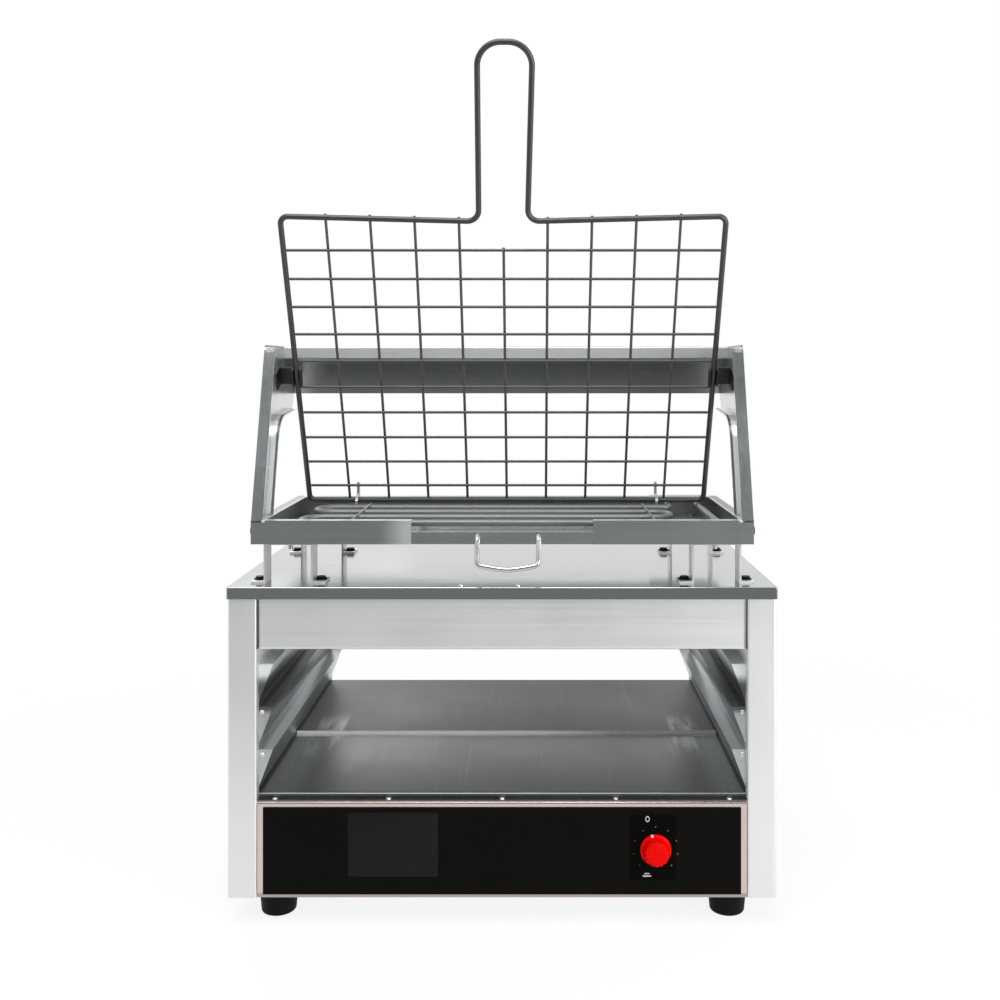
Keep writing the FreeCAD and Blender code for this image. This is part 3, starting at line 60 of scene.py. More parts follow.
class StageProps(bpy.types.PropertyGroup):
    """Where the picture is taken from, and how bright the studio is."""

    eye_x: FloatProperty(name="Camera X", description="How far right of the middle the camera stands",
                         default=0.031, unit="LENGTH")
    eye_distance: FloatProperty(name="Camera distance", description="From the cabinet's front to the camera",
                                default=1.1, unit="LENGTH")
    eye_height: FloatProperty(name="Camera height", description="Height of the level camera over the table",
                              default=0.556, unit="LENGTH")
    lens: FloatProperty(name="Lens", description="Focal length on a 36 mm sensor, in millimetres",
                        default=39.6)
    shift_x: FloatProperty(name="Shift X", description="Sideways shift that frames the object",
                           default=-0.033)
    shift_y: FloatProperty(name="Shift Y", description="Upward shift that frames the object",
                           default=-0.13)
    floor_color: FloatVectorProperty(name="Floor", description="Colour of the studio floor",
                                     default=(0.93, 0.93, 0.93), subtype="COLOR", min=0, max=1)
    world_color: FloatVectorProperty(name="Surroundings", default=(0.44, 0.44, 0.45), subtype="COLOR", min=0,
                                     max=1, description="Colour that lights the object all round")
    mirror_color: FloatVectorProperty(name="Mirrored studio", default=(0.90, 0.92, 0.92), subtype="COLOR",
                                      min=0, max=1, description="Colour that polished metal mirrors")
    dark_card: FloatProperty(name="Dark card", default=0.27, min=0, max=1,
                             description="Brightness of the dark room end that the front mirrors")
    key_power: FloatProperty(name="Key lamp", description="Power of the large lamp above the front",
                             default=41.0, unit="POWER")
    fill_power: FloatProperty(name="Fill lamps", description="Power of the lamps on the right and behind",
                              default=11.5, unit="POWER")


class MetalProps(bpy.types.PropertyGroup):
    """Colours of the sheets, wires and fastenings, and the shape of the rack ledges and arms."""

    cabinet: FloatVectorProperty(name="Cabinet sheet", description="Satin stainless steel of the cabinet",
                                 default=(0.95, 0.96, 0.955), subtype="COLOR", min=0, max=1)
    top: FloatVectorProperty(name="Top sheet", description="Polished stainless steel of the top",
                             default=(0.445, 0.457, 0.457), subtype="COLOR", min=0, max=1)
    bay: FloatVectorProperty(name="Bay sheet", description="Duller steel inside the warming bay",
                             default=(0.15, 0.158, 0.16), subtype="COLOR", min=0, max=1)
    tray: FloatVectorProperty(name="Tray sheet", description="Steel of the tray, arms and hood",
                              default=(0.50, 0.515, 0.52), subtype="COLOR", min=0, max=1)
    trim: FloatVectorProperty(name="Fascia edge", description="Bright edge round the black panel",
                              default=(0.64, 0.53, 0.505), subtype="COLOR", min=0, max=1)
    first_ledge: FloatProperty(name="First ledge", description="Lowest rack ledge over the bay's floor",
                               default=0.043, unit="LENGTH")
    ledge_pitch: FloatProperty(name="Ledge pitch", description="From one rack ledge to the next",
                               default=0.043, unit="LENGTH")
    ledge_depth: FloatProperty(name="Ledge depth", description="How far a rack ledge stands into the bay",
                               default=0.014, unit="LENGTH")
    ledge_drop: FloatProperty(name="Ledge drop", description="Height of a saw tooth under its ledge",
                              default=0.037, unit="LENGTH")
    arm_lean: FloatProperty(name="Arm lean", default=17.7,
                            description="How far the arms lean back from upright, in degrees")
    wire: FloatVectorProperty(name="Basket wire", description="Dull plated wire",
                              default=(0.13, 0.13, 0.135), subtype="COLOR", min=0, max=1)
    zinc: FloatVectorProperty(name="Zinc sheet", description="Zinc-coated sheet of the base and back",
                              default=(0.45, 0.47, 0.48), subtype="COLOR", min=0, max=1)
    sheath: FloatVectorProperty(name="Heater sheath", description="Heat-darkened alloy tube",
                                default=(0.115, 0.108, 0.102), subtype="COLOR", min=0, max=1)
    element: FloatVectorProperty(name="Toasting element", description="Clean alloy tube over the tray",
                                 default=(0.24, 0.25, 0.252), subtype="COLOR", min=0, max=1)
    bolt: FloatVectorProperty(name="Black bolt", description="Black-oxide steel",
                              default=(0.02, 0.02, 0.022), subtype="COLOR", min=0, max=1)
    bright: FloatVectorProperty(name="Bright fastening", description="Bright plated steel",
                                default=(0.55, 0.55, 0.54), subtype="COLOR", min=0, max=1)


class MouldedProps(bpy.types.PropertyGroup):
    """Colours of plastic, rubber and ceramic, and the sizes of what is printed on the fascia."""

    panel: FloatVectorProperty(name="Fascia panel", description="Gloss black overlay",
                               default=(0.0028, 0.0026, 0.0022), subtype="COLOR", min=0, max=1)
    knob: FloatVectorProperty(name="Knob", description="Red moulded plastic",
                              default=(0.70, 0.0014, 0.001), subtype="COLOR", min=0, max=1)
    rubber: FloatVectorProperty(name="Feet", description="Moulded rubber",
                                default=(0.0035, 0.0034, 0.0042), subtype="COLOR", min=0, max=1)
    print_white: FloatVectorProperty(name="Print", description="White screen print",
                                     default=(0.55, 0.55, 0.54), subtype="COLOR", min=0, max=1)
    plate: FloatVectorProperty(name="Bare plate", description="Blank satin plate on the fascia",
                               default=(0.0085, 0.0078, 0.0070), subtype="COLOR", min=0, max=1)
    plate_x: FloatProperty(name="Plate X", description="Middle of the blank plate", default=-0.109,
                           unit="LENGTH")
    plate_z: FloatProperty(name="Plate Z", description="Height of the plate's middle", default=0.0815,
                           unit="LENGTH")
    plate_width: FloatProperty(name="Plate width", description="Width of the blank plate", default=0.090,
                               unit="LENGTH")
    plate_height: FloatProperty(name="Plate height", description="Height of the blank plate", default=0.064,
                                unit="LENGTH")
    knob_turn: FloatProperty(name="Pointer", default=15.0,
                             description="How far the pointer stands left of upright, in degrees")
    scale_dots: IntProperty(name="Scale dots", description="Printed dots round the knob", default=9, min=2)


# Shader maths

# A Mix node's two colour inputs and its colour output, which share their names with others
MIX_COLOURS = (6, 7)
MIX_RESULT = 2


class Value:
    """A number over the surface: a node's output, with the sums that are used on it."""

    def __init__(self, shader, socket):
        self.shader = shader
        self.socket = socket

    def _sum(self, operation, *others, clamp=False):
        inputs = {index: other for index, other in enumerate((self, *others))}
        return self.shader.add("ShaderNodeMath", inputs, operation=operation, use_clamp=clamp)

    def __add__(self, other):
        return self._sum("ADD", other)

    __radd__ = __add__

    def __mul__(self, other):
        return self._sum("MULTIPLY", other)

    __rmul__ = __mul__

    def __sub__(self, other):
        return self._sum("SUBTRACT", other)

    def __rsub__(self, other):
        return (self * -1) + other

    def clamped(self):
        return self._sum("ADD", 0.0, clamp=True)

    def above(self, low, high):
        """Runs smoothly from 0 at low to 1 at high."""
        return self.shader.add("ShaderNodeMapRange", {"Value": self, "From Min": low, "From Max": high},
                               interpolation_type="SMOOTHSTEP")


class Shader:
    """One material's nodes, ending in a Principled surface."""

    def __init__(self, name):
        self.material = bpy.data.materials.new(name)
        self.material.use_nodes = True
        self.tree = self.material.node_tree
        self.surface = self.tree.nodes["Principled BSDF"]
        self.place = self.add("ShaderNodeTexCoord", {}, output="Object")

    def add(self, kind, inputs, output=0, ramp=None, **settings):
        """Makes a node from its settings first, then the values or links of its sockets."""
        node = self.tree.nodes.new(kind)
        for key, value in settings.items():
            setattr(node, key, value)
        if ramp:
            elements = node.color_ramp.elements
            while len(elements) < len(ramp):
                elements.new(0.5)
            for element, (position, colour) in zip(elements, ramp):
                element.position = position
                element.color = (*colour, 1)
        for key, value in inputs.items():
            self.join(node.inputs[key], value)
        return Value(self, node.outputs[output])

    def join(self, socket, value):
        if isinstance(value, Value):
            self.tree.links.new(value.socket, socket)
        else:
            socket.default_value = value

    def set(self, **values):
        """Sets the surface's sockets, named with _ for a space."""
        for key, value in values.items():
            self.join(self.surface.inputs[key.replace("_", " ")], value)

    def show(self, result):
        """Puts another result than the plain surface on the material."""
        self.tree.links.new(result.socket, self.tree.nodes["Material Output"].inputs["Surface"])

    def stretched(self, scale, turn=(0, 0, 0)):
        return self.add("ShaderNodeMapping", {"Vector": self.place, "Scale": scale, "Rotation": turn})

    def noise(self, scale, detail=2.0, rough=0.5, where=None):
        return self.add("ShaderNodeTexNoise", {"Vector": where or self.place, "Scale": scale,
                                               "Detail": detail, "Roughness": rough}, output="Fac")

    def along(self, axis):
        return self.add("ShaderNodeSeparateXYZ", {"Vector": self.place}, output="XYZ".index(axis))

    def within(self, axis, low, high, soft=0.0004):
        """1 between two levels of an axis and 0 outside them; either level can be None.

        soft is half the width of the change at each level.
        """
        place = self.along(axis)
        inside = None
        if low is not None:
            inside = place.above(low - soft, low + soft)
        if high is not None:
            below = 1 - place.above(high - soft, high + soft)
            inside = below if inside is None else inside * below
        return inside

    def apart(self, axis, distance, width):
        """1 on a pair of soft strips that lie a distance either side of the middle."""
        place = self.along(axis)
        square = place * place
        near, far, soft = distance - width / 2, distance + width / 2, width / 4
        past_near = square.above((near - soft) ** 2, near ** 2)
        past_far = square.above(far ** 2, (far + soft) ** 2)
        return past_near * (1 - past_far)

    def facing(self, axis):
        """1 where the surface faces along an axis, either way, to within about 37 degrees."""
        normal = self.add("ShaderNodeNewGeometry", {}, output="True Normal")
        part = self.add("ShaderNodeSeparateXYZ", {"Vector": normal}, output="XYZ".index(axis))
        return (part * part).above(0.54, 0.74)

    def blend(self, share, first, second, mode="MIX"):
        """Mixes two colours, each a tuple or a link, by a share from 0 to 1."""
        node = self.tree.nodes.new("ShaderNodeMix")
        node.data_type = "RGBA"
        node.blend_type = mode
        self.join(node.inputs["Factor"], share)
        for place, colour in zip(MIX_COLOURS, (first, second)):
            self.join(node.inputs[place], colour if isinstance(colour, Value) else (*colour, 1))
        return Value(self, node.outputs[MIX_RESULT])

    def bump(self, height, strength, distance=0.0004):
        return self.add("ShaderNodeBump", {"Height": height, "Strength": strength, "Distance": distance})


# The finishes

# How the noise is stretched for hairline that runs along each axis
GRAIN = {"X": (3, 420, 420), "Y": (420, 3, 420), "Z": (420, 420, 3)}
BRUSHED_BUMP = 0.10
# Grey that the bay's zones of painted light and shade are mixed towards
BAY_PAINT_GREY = (0.62, 0.64, 0.64)


def tint(colour, share):
    """Makes a colour lighter or darker, but no lighter than white."""
    return tuple(min(1.0, channel * share) for channel in colour)


def brushed_steel(name, colour, grain, rough, contrast=0.10, smudge=0.10, low_darkening=0.0, bump=BRUSHED_BUMP,
                  warm=0.0, zones=()):
    """Sheet steel with hairline grain along one direction, soft handling marks and faint rolling tone.

    Grain along X turns along Y on the faces at a sheet's left and right ends, which it can't run on.
    Each zone is a function that finds a region, what its colour is multiplied by, and how metallic it is.
    """
    shader = Shader(name)
    hair = shader.noise(1.0, 3.0, 0.65, shader.stretched(GRAIN[grain]))
    if grain == "X":
        ends = shader.facing("X")
        hair = hair * (1 - ends) + shader.noise(1.0, 3.0, 0.65, shader.stretched(GRAIN["Y"])) * ends
    bands = shader.noise(1.0, 2.0, 0.5, shader.stretched(tuple(3 + value * 0.03 for value in GRAIN[grain])))
    marks = shader.noise(11.0, 4.0, 0.6)
    slanted = shader.stretched((40, 9, 60), turn=(0.3, 0.6, 0.2))
    scratch = shader.noise(1.0, 5.0, 0.75, slanted).above(0.66, 0.72)
    light = (hair - 0.5) * contrast * 2 + (bands - 0.5) * contrast * 2 + 0.5
    base = shader.blend(light.clamped(), tint(colour, 0.78), tint(colour, 1.22))
    base = shader.blend(marks.above(0.55, 0.75) * smudge, base, tint(colour, 0.72))
    base = shader.blend(scratch * 0.18, base, tint(colour, 1.45))
    if warm:
        tan = (colour[0] * 0.92, colour[1] * 0.74, colour[2] * 0.52)
        base = shader.blend(shader.noise(5.0, 3.0).above(0.48, 0.72) * warm, base, tan)
    # Darker towards the bottom.
    if low_darkening:
        height = shader.along("Z").above(0.028, 0.11)
        base = shader.blend((1 - height) * low_darkening, base, tint(colour, 0.55))
    metallic = 1.0
    for region, lift, metal in zones:
        inside = region(shader)
        base = shader.blend(inside, base, shader.blend(1.0, base, (lift, lift, lift), "MULTIPLY"))
        metallic = inside * (metal - 1) + metallic
    roughness = (hair - 0.5) * 0.14 + (marks - 0.5) * 0.16 + rough
    shader.set(Base_Color=base, Metallic=metallic, Roughness=roughness.clamped(),
               Normal=shader.bump(hair, bump))
    return shader.material


def spangled_zinc(name, colour):
    """Zinc coating: flat crystals of slightly different grey, with a dull patch here and there."""
    shader = Shader(name)
    crystals = shader.add("ShaderNodeTexVoronoi", {"Vector": shader.place, "Scale": 160.0, "Randomness": 1.0},
                          output="Color")
    tone = shader.add("ShaderNodeSeparateColor", {"Color": crystals})
    fine = shader.noise(500.0, 2.0)
    patch = shader.noise(14.0, 4.0)
    base = shader.blend(tone * 0.5 + fine * 0.3, tint(colour, 0.82), tint(colour, 1.15))
    base = shader.blend(patch.above(0.5, 0.8) * 0.35, base, tint(colour, 0.68))
    shader.set(Base_Color=base, Metallic=1.0, Roughness=(tone * 0.12 + patch * 0.2 + 0.28).clamped(),
               Normal=shader.bump(fine, 0.08))
    return shader.material


def drawn_wire(name, colour, rough, soot=0.0):
    """Plated wire with drawing lines, dull patches and, on the basket, a little baked-on darkening."""
    shader = Shader(name)
    fine = shader.noise(900.0, 3.0)
    patch = shader.noise(32.0, 4.0, 0.6)
    base = shader.blend(fine * 0.6 + patch * 0.4, tint(colour, 0.70), tint(colour, 1.35))
    if soot:
        toast = (colour[0] * 0.30, colour[1] * 0.24, colour[2] * 0.20)
        base = shader.blend(patch.above(0.56, 0.74) * soot, base, toast)
    roughness = patch * 0.25 + fine * 0.1 + rough
    shader.set(Base_Color=base, Metallic=1.0, Roughness=roughness.clamped(), Normal=shader.bump(fine, 0.12))
    return shader.material


def scorched_sheath(name, colour, temper=1.0):
    """Heater tube: clean grey where temper is 0, with oxide brown, straw and blue towards 1."""
    shader = Shader(name)
    cloud = shader.noise(24.0, 4.0, 0.6)
    speck = shader.noise(700.0, 2.0)
    straw, blue = (0.15, 0.125, 0.10), (0.10, 0.105, 0.12)
    oxide = shader.add("ShaderNodeValToRGB", {"Fac": cloud}, ramp=[
        (0.30, tint(colour, 0.55)), (0.47, colour), (0.60, straw), (0.72, blue)])
    grey = shader.blend(cloud, tint(colour, 0.85), tint(colour, 1.15))
    base = shader.blend(temper, grey, oxide)
    base = shader.blend(speck.above(0.55, 0.7) * (0.10 + 0.25 * temper), base, tint(colour, 0.3))
    roughness = cloud * 0.25 + speck * 0.12 + 0.36
    shader.set(Base_Color=base, Metallic=0.85, Roughness=roughness.clamped(), Normal=shader.bump(speck, 0.2))
    return shader.material


def moulded(name, colour, rough, grain=0.1, shine=0.5, mottle=0.12, dust=0.0):
    """Plastic, rubber or ceramic: faint moulding texture, uneven gloss and a trace of dust."""
    shader = Shader(name)
    fine = shader.noise(850.0, 3.0)
    cloud = shader.noise(26.0, 3.0)
    base = shader.blend(cloud, tint(colour, 1 - mottle), tint(colour, 1 + mottle))
    if dust:
        speck = shader.noise(320.0, 4.0, 0.7).above(0.62, 0.74)
        base = shader.blend(speck * dust, base, (0.24, 0.23, 0.22))
    roughness = fine * 0.10 + cloud * 0.14 + rough - 0.12
    shader.set(Base_Color=base, Metallic=0.0, Roughness=roughness.clamped(), Specular_IOR_Level=shine,
               Normal=shader.bump(fine, grain))
    return shader.material


def rolled_bay_sheet(name, colour, zones=(), rough=0.16):
    """Bay floor and sides: dull rolled steel with heat haze and scuffs from trays slid in and out.

    Each zone is a function that finds a region of painted light or shade,
    its share of the bay's painting grey, and how metallic it is.
    """
    shader = Shader(name)
    hair = shader.noise(1.0, 3.0, 0.6, shader.stretched((300, 3, 300)))
    cloud = shader.noise(7.0, 4.0, 0.55)
    haze = shader.noise(18.0, 3.0, 0.5)
    slide = shader.noise(1.0, 4.0, 0.7, shader.stretched((150, 5, 150))).above(0.60, 0.68)
    base = shader.blend(hair * 0.45 + cloud * 0.55, tint(colour, 0.74), tint(colour, 1.30))
    heated = (colour[0] * 0.95, colour[1] * 0.84, colour[2] * 0.70)
    base = shader.blend(haze.above(0.52, 0.72) * 0.30, base, heated)
    base = shader.blend(slide * 0.30, base, tint(colour, 1.7))
    metallic = 1.0
    for region, share, metal in zones:
        inside = region(shader)
        base = shader.blend(inside, base, tint(BAY_PAINT_GREY, share))
        metallic = inside * (metal - 1) + metallic
    roughness = cloud * 0.24 + hair * 0.10 + rough
    shader.set(Base_Color=base, Metallic=metallic, Roughness=roughness.clamped(),
               Normal=shader.bump(hair, BRUSHED_BUMP))
    return shader.material


def printed(name, colour):
    """Screen print: slightly uneven ink."""
    shader = Shader(name)
    ink = shader.noise(1400.0, 2.0)
    shader.set(Base_Color=shader.blend(ink, tint(colour, 0.86), tint(colour, 1.06)), Metallic=0.0,
               Roughness=ink * 0.2 + 0.45, Normal=shader.bump(ink, 0.15))
    return shader.material


# Helpers for the pieces

def dress(material, *names):
    """Gives a material to CAD nodes, in place of the plain one they came with."""
    for name in names:
        mesh = NODES[name].data
        mesh.materials.clear()
        mesh.materials.append(material)


def finished(bm, name, material, body, smooth_degrees=35):
    """Makes a bmesh the piece that rides on a body, with edges sharper than an angle left sharp."""
    bmesh.ops.remove_doubles(bm, verts=bm.verts, dist=1e-6)
    bmesh.ops.recalc_face_normals(bm, faces=bm.faces)
    mesh = bpy.data.meshes.new(name)
    bm.to_mesh(mesh)
    bm.free()
    mesh.materials.append(material)
    mesh.shade_smooth()
    mesh.set_sharp_from_angle(angle=math.radians(smooth_degrees))
    piece = bpy.data.objects.new(name, mesh)
    bpy.context.collection.objects.link(piece)
    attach(piece, body)
    return piece


def stood(centre, outward):
    """The move that takes what points up at the origin to centre, pointing outward."""
    turn = Vector((0, 0, 1)).rotation_difference(Vector(outward)).to_matrix().to_4x4()
    return Matrix.Translation(centre) @ turn


def disc(bm, centre, radius, depth, sides, outward):
    """Adds a short closed cylinder whose middle is at centre."""
    bmesh.ops.create_cone(bm, cap_ends=True, segments=sides, radius1=radius, radius2=radius, depth=depth,
                          matrix=stood(centre, outward))


def block(bm, low, high):
    """Adds a box between two corners."""
    scale = Matrix.Diagonal((*(high - low), 1))
    bmesh.ops.create_cube(bm, size=1, matrix=Matrix.Translation((high + low) / 2) @ scale)


def chained(bm, places):
    """Adds vertices at the places, with edges from each to the next."""
    chain = [bm.verts.new(place) for place in places]
    return chain, [bm.edges.new(pair) for pair in zip(chain, chain[1:])]


def turned(bm, profile, centre, outward, steps):
    """Adds a profile of radii and heights in millimetres, spun about a direction through centre."""
    before = set(bm.verts)
    chain, edges = chained(bm, [(reach * MM, 0, rise * MM) for reach, rise in profile])
    bmesh.ops.spin(bm, geom=chain + edges, cent=(0, 0, 0), axis=(0, 0, 1), angle=math.radians(360),
                   steps=steps, use_merge=True)
    bmesh.ops.transform(bm, matrix=stood(centre, outward), verts=[v for v in bm.verts if v not in before])


def both_sides(bm):
    """Repeats what stands on the right side on the left side."""
    everything = list(bm.verts) + list(bm.edges) + list(bm.faces)
    bmesh.ops.mirror(bm, geom=everything, matrix=Matrix.Identity(4), merge_dist=-1, axis="X")


def soften(bm, width, segments=2, edges=None):
    """Rounds the given edges, or every edge."""
    bmesh.ops.bevel(bm, geom=list(bm.edges) if edges is None else edges, offset=width, segments=segments,
                    profile=0.5, affect="EDGES", material=-1)


def soften_corners(bm, width, segments):
    """Rounds the four corners of a thin plate that faces the front."""
    corners = [edge for edge in bm.edges if abs((edge.verts[0].co - edge.verts[1].co).normalized().y) > 0.9]
    soften(bm, width, segments, corners)


# The pieces

class DRESS_OT_cabinet(bpy.types.Operator):
    """Steel of the cabinet's outside and of the stand-offs: columns, bands, top, base and back."""

    bl_idname = "toaster.cabinet"
    bl_label = "Cabinet sheets"

    def execute(self, context):
        metal = context.scene.toaster_metal
        gap_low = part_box("front_header")[0].z
        column_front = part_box("left_side_panel")[0].y + 0.2 * MM
        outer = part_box("right_side_panel")[1]
        band_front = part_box("rear_header")[0].y
        top_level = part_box("top_plate")[1].z

        def gap_shade(shader):
            """Painted shade on the columns' inner faces beside the front band, for the dark gap there."""
            inner = outer.x - 4 * MM
            beside_band = shader.within("Z", gap_low, None) * shader.within("Y", column_front, None)
            return shader.facing("X") * beside_band * shader.within("X", -inner, inner)

        # Painted shade: the outer sides, rear faces, rear band and bracket sides are darker copies of the
        # sheet.
        def shaded_outer_side(shader):
            inner = outer.x - 0.8 * MM
            return shader.facing("X") * (1 - shader.within("X", -inner, inner))

        def shaded_rear_column(shader):
            return shader.facing("Y") * shader.within("Y", outer.y - 1.0 * MM, None)

        def shaded_rear_band(shader):
            return shader.within("Y", band_front, None)

        def shaded_bracket_side(shader):
            return shader.facing("X") * shader.within("Z", top_level, None)

        upright = brushed_steel(
            "satin_upright", metal.cabinet, "Z", rough=0.52, contrast=0.07, smudge=0.08, low_darkening=0.12,
            zones=((gap_shade, 0.10, 0.4), (shaded_outer_side, 0.64, 1.0), (shaded_rear_column, 0.72, 1.0)))
        level = brushed_steel(
            "satin_level", metal.cabinet, "X", rough=0.52, contrast=0.07, smudge=0.06,
            zones=((shaded_rear_band, 0.72, 1.0), (shaded_bracket_side, 0.92, 1.0)))
        top = brushed_steel("polished_top", metal.top, "X", rough=0.12, contrast=0.05, smudge=0.05, bump=0.03)
        dress(upright, "left_side_panel", "right_side_panel")
        dress(level, "front_header", "rear_header", *[corner + "_stand_off" for corner in CORNERS])
        dress(top, "top_plate")
        dress(spangled_zinc("zinc_sheet", metal.zinc), "bottom_pan", "rear_panel", "heater_bracket",
              "left_heater_clip", "right_heater_clip")
        return {"FINISHED"}


class DRESS_OT_bay(bpy.types.Operator):
    """Steel inside the warming bay."""

    bl_idname = "toaster.bay"
    bl_label = "Warming bay"

    def execute(self, context):
        metal = context.scene.toaster_metal
        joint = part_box("rear_floor_plate")[0].y
        floor_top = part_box("front_floor_plate")[1].z
        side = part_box("front_floor_plate")[1].x
        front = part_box("left_side_panel")[0].y

        def floor_reflections(shader):
            """Painted reflection: lighter streaks at both ends of the joint, for what the floor mirrors."""
            across = shader.apart("X", side - 36 * MM, 26 * MM)
            lengthwise = shader.within("Y", joint - 50 * MM, joint + 45 * MM, 36 * MM)
            streaks = shader.noise(1.0, 3.0, 0.6, shader.stretched((70, 9, 70))).above(0.34, 0.62)
            return across * lengthwise * streaks * 0.5

        # Painted highlight along the rear plate's bead.
        def bead(shader):
            return shader.within("Y", None, joint + 4.2 * MM) * shader.within("Z", floor_top, None)

        def lap_light(shader):
            """Painted light on the front plate's last few millimetres, lifting the shadow under the bead."""
            return shader.within("Y", joint - 7 * MM, None)

        def tooth_shade(shader):
            """Underside of the middle ledge, darker towards the back, where it mirrors the floor."""
            level = shader.along("Z") + (shader.along("Y") - front) * 0.1
            band = 1 - level.above(floor_top + 108 * MM, floor_top + 118 * MM)
            return level.above(floor_top + 78 * MM, floor_top + 85 * MM) * band * 0.85

        # Painted shade under the top plate: a matt grey band above the rack in place of the bright metal.
        def shade_above_rack(shader):
            return shader.within("Z", floor_top + 116 * MM, None, 4 * MM) * 0.7

        # Painted shade: the liners' lowest strip, nearly black, along the floor.
        def floor_gap_shade(shader):
            return shader.within("Z", None, floor_top + 5.5 * MM)

        front_sheet = rolled_bay_sheet("front_floor_sheet", metal.bay,
                                       zones=((floor_reflections, 1.3, 0.3), (lap_light, 1.6, 0.0)))
        rear_sheet = rolled_bay_sheet("rear_floor_sheet", tint(metal.bay, 0.55), rough=0.26,
                                      zones=((floor_reflections, 1.3, 0.3), (bead, 1.6, 0.1)))
        rack = rolled_bay_sheet("rack_sheet", tint(metal.bay, 3.5), zones=(
            (tooth_shade, 0.09, 0.8), (shade_above_rack, 1.5, 0.1), (floor_gap_shade, 0.02, 0.5)))
        dress(front_sheet, "front_floor_plate")
        dress(rear_sheet, "rear_floor_plate")
        dress(rack, "left_rack_liner", "right_rack_liner")
        levels = [floor_top + metal.first_ledge + metal.ledge_pitch * number for number in range(3)]
        self.rack_ends(metal, levels, rack)
        self.rivets(metal, levels[:2])
        return {"FINISHED"}

    def rack_ends(self, metal, levels, sheet):
        """Plates that close the front and rear ends of the hollow saw-tooth ledges."""
        low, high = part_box("right_rack_liner")
        thick = 1.2 * MM
        set_back = 0.2 * MM
        root = high.x - thick / 2
        tip = high.x - thick - metal.ledge_depth + thick / 2
        bm = bmesh.new()
        for y in (low.y + set_back, high.y - thick - set_back):
            for level in levels:
                upper = level - thick / 2
                corners = [bm.verts.new((x, y, z)) for x, z in (
                    (root, upper), (tip, upper), (root, level - metal.ledge_drop))]
                fold = bmesh.ops.extrude_face_region(bm, geom=[bm.faces.new(corners)])
                moved = [item for item in fold["geom"] if isinstance(item, bmesh.types.BMVert)]
                bmesh.ops.translate(bm, vec=(0, thick, 0), verts=moved)
        both_sides(bm)
        finished(bm, "rack_ends", sheet, "cabinet")

    def rivets(self, metal, levels):
        """A domed rivet under the root of each lower ledge, on both sides."""
        low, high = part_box("right_rack_liner")
        x = high.x - 4.2 * MM
        y = low.y + 0.2 * MM
        below_ledge = 5.5 * MM
        profile = [(0.0, -0.4), (2.3, -0.4), (2.3, 0.25), (1.95, 0.65), (1.3, 1.0), (0.6, 1.15), (0.0, 1.2)]
        bm = bmesh.new()
        for level in levels:
            turned(bm, profile, Vector((x, y, level - below_ledge)), (0, -1, 0), 20)
        both_sides(bm)
        finished(bm, "rack_rivets", drawn_wire("rivet_plate", tint(metal.bright, 1.5), rough=0.12), "cabinet",
                 smooth_degrees=60)


